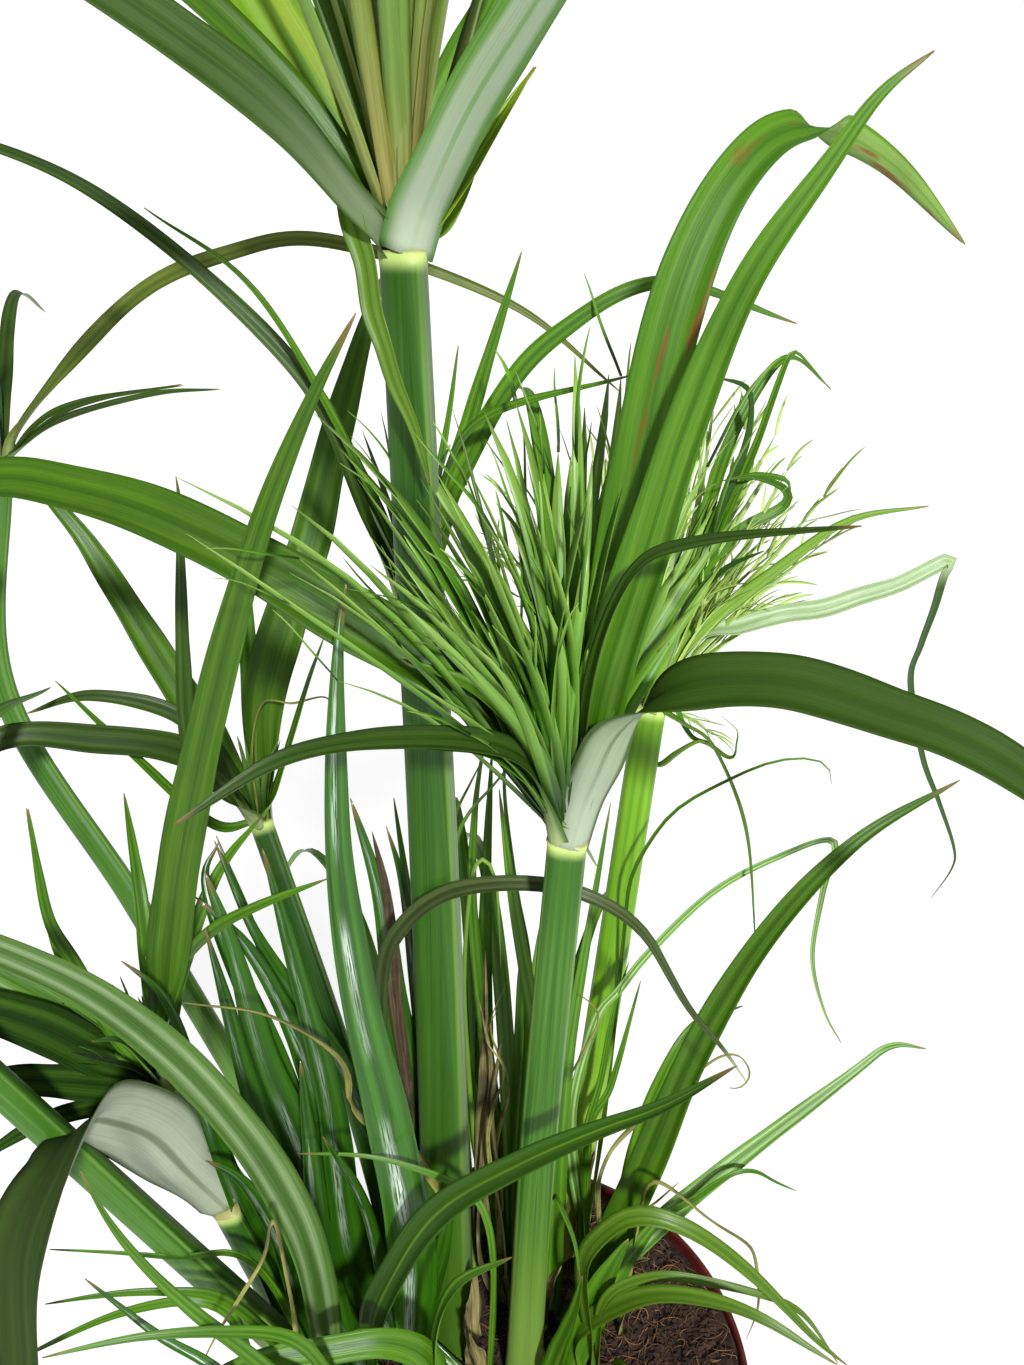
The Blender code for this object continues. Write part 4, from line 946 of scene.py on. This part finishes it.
def leaf_finish(name, deep, light, stripe, under, shoulder_highlight_share=0.35, rough=0.36, coat=0.0, rust=0.0,
                yellow=0.0, mid_light=0.0, foot=(176, 196, 130), foot_reach=0.08, foot_share=0.55,
                tip=(124, 96, 60), tip_from=0.95, tip_share=0.7, painted_sheen=0.0, edge_from=0.68, gloss=0.25):
    """Leaf skin: lengthwise veins and broad bands from noise drawn out along the leaf, pale stripes half-way
    to each edge that are painted highlights on the shoulders of the fold, a dark or pale middle line, a
    paler lower face with green edges, a pale foot and a browner tip. Blotches, and where they are asked
    for yellow bands and rust spots, are noise past a threshold. The sheen is a painted highlight: long
    near-white strands of glare beside the middle line, where coarse noise along the leaf lets them show."""
    w = Wires(name)
    u, t, below = w.parts("leaf")
    wide = w.math("ABSOLUTE", u)
    veins = w.streaks(3.4, 0.03, 3.0)
    bands = w.streaks(0.45, 0.01, 1.0)
    patches = w.noise(w.place(), 45.0, 3.0)
    colour = w.mix(w.scaled(w.step(bands, 0.3, 0.7), 0.2, 0.8), deep, light)
    # painted highlights: pale stripes on the shoulders of the fold, half-way to each edge
    shoulder_highlights = w.times(w.step(w.off(wide, 0.46), 0.3, 0.0), w.scaled(bands, shoulder_highlight_share * 0.5, shoulder_highlight_share))
    colour = w.mix(shoulder_highlights, colour, stripe)
    colour = w.over(colour, wide, 0.14, 0.02, 0.7, w.mix(mid_light, deep, stripe))
    colour = w.over(colour, veins, 0.45, 0.66, 0.45, w.mix(0.8, colour, deep))
    colour = w.over(colour, veins, 0.48, 0.3, 0.18, stripe)
    lower = w.mix(w.step(wide, edge_from, edge_from + 0.22), under, light)
    lower = w.over(lower, veins, 0.4, 0.66, 0.4, w.mix(0.4, under, light))
    lower = w.over(lower, wide, 0.14, 0.04, 0.6, light)
    colour = w.mix(below, colour, lower)
    colour = w.over(colour, patches, 0.45, 0.75, 0.35, w.mix(0.5, colour, BLOTCH))
    if yellow:
        colour = w.over(colour, w.streaks(0.3, 0.02), 0.45, 0.62, yellow, YELLOWED)
    if rust:
        colour = w.over(colour, w.streaks(0.3, 0.035), 0.58, 0.7, rust, RUST)
    # painted highlight: near-white strands of glare beside the middle line, in patches along the leaf
    if painted_sheen:
        _, run, seed = w.parts("grain")
        highlight_patches = w.step(w.noise(w.point(seed, w.times(run, 0.02), 0.0), 1.0, 1.0), 0.42, 0.6)
        strands = w.step(w.streaks(4.0, 0.1), 0.4, 0.56)
        band = w.step(w.off(u, 0.18), 0.36, 0.08)
        colour = w.mix(w.times(w.times(highlight_patches, strands), w.times(band, painted_sheen)), colour, PAINTED_GLARE)
    at_foot = w.times(w.step(t, foot_reach, 0.0), w.times(w.step(wide, 1.0, 0.6), foot_share))
    colour = w.mix(at_foot, colour, foot)
    colour = w.over(colour, t, tip_from, tip_from + 0.04, tip_share, tip)
    return w.skin(colour, w.scaled(veins, rough - 0.1, rough + 0.14), w.bump(veins, 0.4, 0.0002),
                  Specular_IOR_Level=gloss, Coat_Weight=coat, Coat_Roughness=0.12, Subsurface_Weight=0.1,
                  Subsurface_Radius=(0.0004, 0.001, 0.0002))


# painted highlight on the face that the attribute side marks
PAINTED_FACE_HIGHLIGHT = (150, 166, 130)
# painted highlight along the stem's corners
CORNER_HIGHLIGHT = (140, 178, 90)
NODE_BAND = (196, 220, 128)
NODE_RIM = (150, 120, 90)


def culm_finish(name, deep, light, streak, foot, face_highlight_share=0.0):
    """Stem skin: fine lengthwise streaks, paler along the corners as a painted highlight, a pale yellow
    band at the node that fades downwards, deep green below it as painted shade under the bracts, and
    paler again at the foot. The last argument is how much of the face that the attribute side marks is
    covered by a pale grey-green painted highlight."""
    w = Wires(name)
    corner, t, left = w.parts("leaf")
    streaks = w.streaks(2.0, 0.015, 3.0)
    bands = w.streaks(0.35, 0.006, 1.0)
    patches = w.noise(w.place(), 30.0, 3.0)
    colour = w.mix(w.step(bands, 0.35, 0.65), deep, light)
    colour = w.over(colour, streaks, 0.4, 0.68, 0.4, streak)
    colour = w.over(colour, patches, 0.45, 0.75, 0.3, deep)
    # painted highlight: pale grey-green over the face that the attribute side marks
    colour = w.mix(w.times(w.parts("side")[0], face_highlight_share), colour, w.mix(streaks, light, PAINTED_FACE_HIGHLIGHT))
    # painted highlight: paler green along the corners
    colour = w.over(colour, corner, 0.88, 0.99, 0.4, CORNER_HIGHLIGHT)
    colour = w.over(colour, t, 0.5, 0.0, 0.7, foot)
    # painted shade: deep green over the 26 mm below the node, where the bracts' shadow falls
    colour = w.over(colour, left, 26.0, 6.0, 0.4, deep)
    colour = w.over(colour, left, 4.4, 0.8, 0.85, NODE_BAND)
    colour = w.over(colour, left, 0.6, 0.1, 0.6, NODE_RIM)
    return w.skin(colour, w.scaled(streaks, 0.34, 0.52), w.bump(streaks, 0.35, 0.0002),
                  Specular_IOR_Level=0.3, Subsurface_Weight=0.08, Subsurface_Radius=(0.0005, 0.001, 0.0002))


BROWNED = (122, 96, 40)
RAY_STREAK = (30, 60, 14)
RAY_UNDER = (140, 172, 84)


def ray_finish(name, foot, middle, tip, brown=0.0, shade=(34, 72, 14)):
    """Ray skin: one colour at the foot, another half-way and a third at the tip, with fine streaks and a
    paler lower face. Noise read at each ray's own number makes it darker, by up to 45 per cent of the
    shade, or brown."""
    w = Wires(name)
    _, t, below = w.parts("leaf")
    _, _, number = w.parts("grain")
    streaks = w.streaks(2.4, 0.05)
    own = w.noise(w.point(number, 0.0, 0.0), 3.0, 0.0)
    colour = w.mix(w.step(t, 0.15, 0.5), foot, middle)
    colour = w.mix(w.step(t, 0.55, 0.95), colour, tip)
    colour = w.mix(w.step(own, 0.35, 0.7), colour, w.mix(0.45, colour, shade))
    if brown:
        colour = w.over(colour, own, 0.5, 0.42, brown, BROWNED)
    colour = w.over(colour, streaks, 0.42, 0.62, 0.6, w.mix(0.55, colour, RAY_STREAK))
    colour = w.mix(w.times(w.times(below, 0.25), w.step(t, 0.15, 0.5)), colour, RAY_UNDER)
    return w.skin(colour, w.scaled(streaks, 0.34, 0.55), w.bump(streaks, 0.3, 0.0002),
                  Subsurface_Weight=0.1, Subsurface_Radius=(0.0003, 0.0008, 0.0002))


def dry_finish(name, pale, brown, dark, rough):
    """Dead tissue: straw and brown in lengthwise fibres, with dark blotches and a matt papery bump."""
    w = Wires(name)
    fibres = w.streaks(3.0, 0.05, 3.0)
    blotches = w.noise(w.place(), 90.0, 4.0)
    colour = w.mix(w.step(fibres, 0.35, 0.65), pale, brown)
    colour = w.over(colour, blotches, 0.45, 0.68, 0.8, dark)
    return w.skin(colour, w.scaled(fibres, rough, rough + 0.25), w.bump(fibres, 0.7, 0.0003))


def pot_finish():
    """Moulded plastic: a fine grain in the bump, and dull patches of dust that are paler and rougher."""
    w = Wires("pot_plastic")
    clean, dusty = (84, 20, 18), (112, 44, 36)
    grain = w.noise(w.place(), 1400.0, 2.0)
    dust = w.noise(w.place(), 60.0, 4.0, 0.7)
    colour = w.mix(w.step(dust, 0.45, 0.75), clean, dusty)
    return w.skin(colour, w.scaled(dust, 0.34, 0.6), w.bump(grain, 0.2, 0.0002))


def soil_finish():
    """Peat: fine noise from near black to brown, and broader patches of a lighter brown."""
    w = Wires("peat")
    wet, brown, drier = (12, 7, 5), (62, 38, 26), (84, 54, 34)
    crumbs = w.noise(w.place(), 500.0, 4.0, 0.7)
    patches = w.noise(w.place(), 90.0, 3.0)
    colour = w.mix(w.step(crumbs, 0.38, 0.62), wet, brown)
    colour = w.over(colour, patches, 0.5, 0.7, 0.45, drier)
    return w.skin(colour, w.scaled(crumbs, 0.8, 1.0), w.bump(crumbs, 0.8, 0.001))


FINISHES = {
    "bright": leaf_finish("leaf_bright", (44, 88, 6), (84, 132, 20), (126, 170, 60), (120, 156, 60)),
    "midrib": leaf_finish("leaf_midrib", (30, 62, 4), (52, 90, 12), (96, 134, 32), (96, 130, 50), 0.0,
                          mid_light=1.0),
    "dark": leaf_finish("leaf_dark", (30, 52, 10), (56, 88, 20), (84, 110, 40), (120, 138, 90), 0.3, 0.4),
    "tawny": leaf_finish("leaf_tawny", (64, 84, 20), (98, 112, 40), (132, 132, 60), (120, 134, 70), 0.3,
                         0.42),
    "tawny_dark": leaf_finish("leaf_tawny_dark", (40, 56, 20), (62, 80, 34), (110, 124, 70), (150, 164, 120),
                              0.3, tip=(176, 186, 150)),
    # painted shade: a darker copy of the leaf skin for leaves deep in the shade of the clump
    "black": leaf_finish("leaf_shaded", (20, 42, 6), (40, 72, 12), (70, 106, 30), (60, 84, 40), 0.5, 0.7,
                         gloss=0.08),
    "olive": leaf_finish("leaf_olive", (46, 72, 18), (52, 80, 20), (64, 96, 26), (136, 154, 122), 0.4, 0.6,
                         foot=(160, 172, 150), foot_reach=0.22, foot_share=0.85, gloss=0.15),
    "ribbed": leaf_finish("leaf_ribbed", (40, 76, 4), (68, 108, 12), (96, 136, 30), (114, 142, 62), 0.35),
    "rusty": leaf_finish("leaf_rusty", (46, 92, 6), (82, 130, 18), (104, 146, 40), (120, 154, 70), 0.2, 0.5,
                         rust=0.8),
    "yellow": leaf_finish("leaf_yellowish", (78, 120, 12), (118, 160, 30), (150, 184, 80), (128, 160, 60),
                          0.5, yellow=0.28, rust=0.2),
    "sallow": leaf_finish("leaf_sallow", (60, 94, 12), (88, 122, 26), (116, 146, 52), (100, 128, 46), 0.4),
    "grey": leaf_finish("leaf_underside", (40, 70, 18), (84, 136, 40), (130, 150, 100), (154, 172, 142), 0.4,
                        0.5, foot=(164, 176, 154), foot_reach=0.24, foot_share=0.75, edge_from=0.55),
    "grey_green": leaf_finish("leaf_grey_green", (40, 66, 14), (62, 92, 26), (96, 120, 60), (84, 106, 60),
                              0.3, 0.5, foot=(124, 140, 108), foot_reach=0.3, foot_share=0.7),
    "young": leaf_finish("leaf_young", (44, 60, 26), (56, 78, 34), (52, 70, 32), (160, 168, 150), 0.05, 0.7,
                         foot=(170, 180, 150), foot_reach=0.15, foot_share=0.4, edge_from=0.78, gloss=0.05),
    "striped": leaf_finish("leaf_striped", (50, 82, 22), (82, 116, 46), (138, 160, 114), (112, 140, 76), 0.9,
                           0.45),
    "pale": leaf_finish("leaf_pale", (60, 112, 22), (116, 162, 68), (190, 212, 152), (164, 190, 120), 0.8,
                        0.34),
    "glossy": leaf_finish("leaf_glossy", (24, 66, 4), (52, 106, 10), (80, 146, 36), (70, 124, 30), 0.3, 0.28,
                          coat=0.4, painted_sheen=1.0),
    "clump": leaf_finish("leaf_clump", (24, 60, 4), (48, 98, 10), (74, 136, 32), (66, 118, 28), 0.25, 0.32,
                         coat=0.2, painted_sheen=0.3),
    "silver": leaf_finish("leaf_silver", (128, 156, 100), (160, 184, 138), (206, 218, 192), (170, 190, 152),
                          0.5, 0.34, tip=(40, 74, 16), tip_from=0.44, tip_share=1.0),
    "culm": culm_finish("culm", (38, 86, 12), (64, 112, 28), (94, 134, 50), (126, 154, 70)),
    "culm_tall": culm_finish("culm_tall", (32, 76, 6), (48, 95, 12), (72, 114, 30), (68, 100, 26), 0.85),
    "culm_bright": culm_finish("culm_bright", (84, 138, 16), (112, 162, 28), (138, 178, 60), (190, 180, 96)),
    "culm_dark": culm_finish("culm_dark", (22, 60, 4), (38, 82, 8), (58, 100, 20), (70, 116, 28)),
    "ray_green": ray_finish("ray_green", (36, 66, 14), (94, 152, 26), (142, 182, 76)),
    "ray_dark": ray_finish("ray_dark", (50, 82, 16), (34, 72, 8), (50, 92, 22)),
    "ray_bright": ray_finish("ray_bright", (206, 226, 140), (184, 214, 104), (166, 198, 116),
                             shade=(112, 150, 56)),
    "ray_pale": ray_finish("ray_pale", (154, 158, 80), (92, 130, 30), (72, 112, 20), brown=0.45),
    "dry": dry_finish("dry_strand", (150, 150, 78), (108, 108, 46), (72, 66, 36), 0.6),
    "papery": dry_finish("dry_sheath", (148, 140, 88), (98, 84, 48), (50, 42, 24), 0.65),
    "dark_papery": dry_finish("dark_sheath", (92, 72, 46), (56, 42, 28), (26, 20, 13), 0.65),
    "fibre": dry_finish("coir_fibre", (160, 118, 76), (86, 50, 30), (36, 20, 14), 0.7),
    "pot": pot_finish(),
    "soil": soil_finish(),
}


# ---------------------------------------------------------------- studio

FLOOR_HALF = 40.0         # metres, so that its edge stays out of sight
FLOOR_GREYS = (0.3, 0.3, 0.3, 1), (0.34, 0.34, 0.34, 1)
ROOM_ON_PLANT = 0.36      # strength of the white room where it lights the plant
ROOM_IN_VIEW = 1.05       # and where the camera sees it
LAMP_POWER = 4.0
LAMP_SPREAD = 5.0         # degrees that the lamp covers in the sky
LAMP_PLACE = (0.5, -1.6, 1.4)
LAMP_TURN = (56, 0, 16)   # degrees
FOCAL_LENGTH = 28.8
FILM_WIDTH = 36.0
CAMERA_PLACE = (0.001, -0.201, 0.438)
CAMERA_PITCH = 64.2       # degrees up from looking straight down


def make_stage():
    """A level square of pale paper that glows a little, so that it shows as white as the room."""
    x = FLOOR_HALF
    mesh = bpy.data.meshes.new("floor")
    mesh.from_pydata([(-x, -x, 0), (x, -x, 0), (x, x, 0), (-x, x, 0)], [], [(0, 1, 2, 3)])
    w = Wires("floor_paper")
    tint = w.mix(w.noise(w.place(), 3.0), *FLOOR_GREYS)
    w.skin(tint, 0.9, w.bump(w.noise(w.place(), 800.0), 0.05, 0.0002), Emission_Color=(1, 1, 1, 1),
           Emission_Strength=0.8)
    mesh.materials.append(w.material)
    floor = bpy.data.objects.new("floor", mesh)
    bpy.context.scene.collection.objects.link(floor)


def make_light():
    """A white room that the camera sees at full strength and the plant at about a third of it, and a broad
    lamp far off, above and in front to the right."""
    world = bpy.data.worlds.new("studio")
    bpy.context.scene.world = world
    world.use_nodes = True
    tree = world.node_tree
    room = tree.nodes["Background"]
    room.inputs["Color"].default_value = (1, 1, 1, 1)
    seen = tree.nodes.new("ShaderNodeLightPath").outputs["Is Camera Ray"]
    power = tree.nodes.new("ShaderNodeMapRange")
    power.inputs["To Min"].default_value = ROOM_ON_PLANT
    power.inputs["To Max"].default_value = ROOM_IN_VIEW
    tree.links.new(seen, power.inputs["Value"])
    tree.links.new(power.outputs["Result"], room.inputs["Strength"])
    lamp = bpy.data.lights.new("key", "SUN")
    lamp.angle = math.radians(LAMP_SPREAD)
    lamp.energy = LAMP_POWER
    holder = bpy.data.objects.new("key", lamp)
    bpy.context.scene.collection.objects.link(holder)
    holder.location = LAMP_PLACE
    holder.rotation_euler = [math.radians(turn) for turn in LAMP_TURN]
    bpy.context.scene.view_settings.view_transform = "Standard"


def make_camera():
    lens = bpy.data.cameras.new("camera")
    lens.lens = FOCAL_LENGTH
    lens.sensor_width = FILM_WIDTH
    camera = bpy.data.objects.new("camera", lens)
    bpy.context.scene.collection.objects.link(camera)
    camera.location = CAMERA_PLACE
    camera.rotation_euler = (math.radians(CAMERA_PITCH), 0, 0)
    bpy.context.scene.camera = camera


make_leaves()
make_small_leaves()
make_stems()
make_umbels()
make_soil()
make_pot()
make_stage()
make_light()
make_camera()
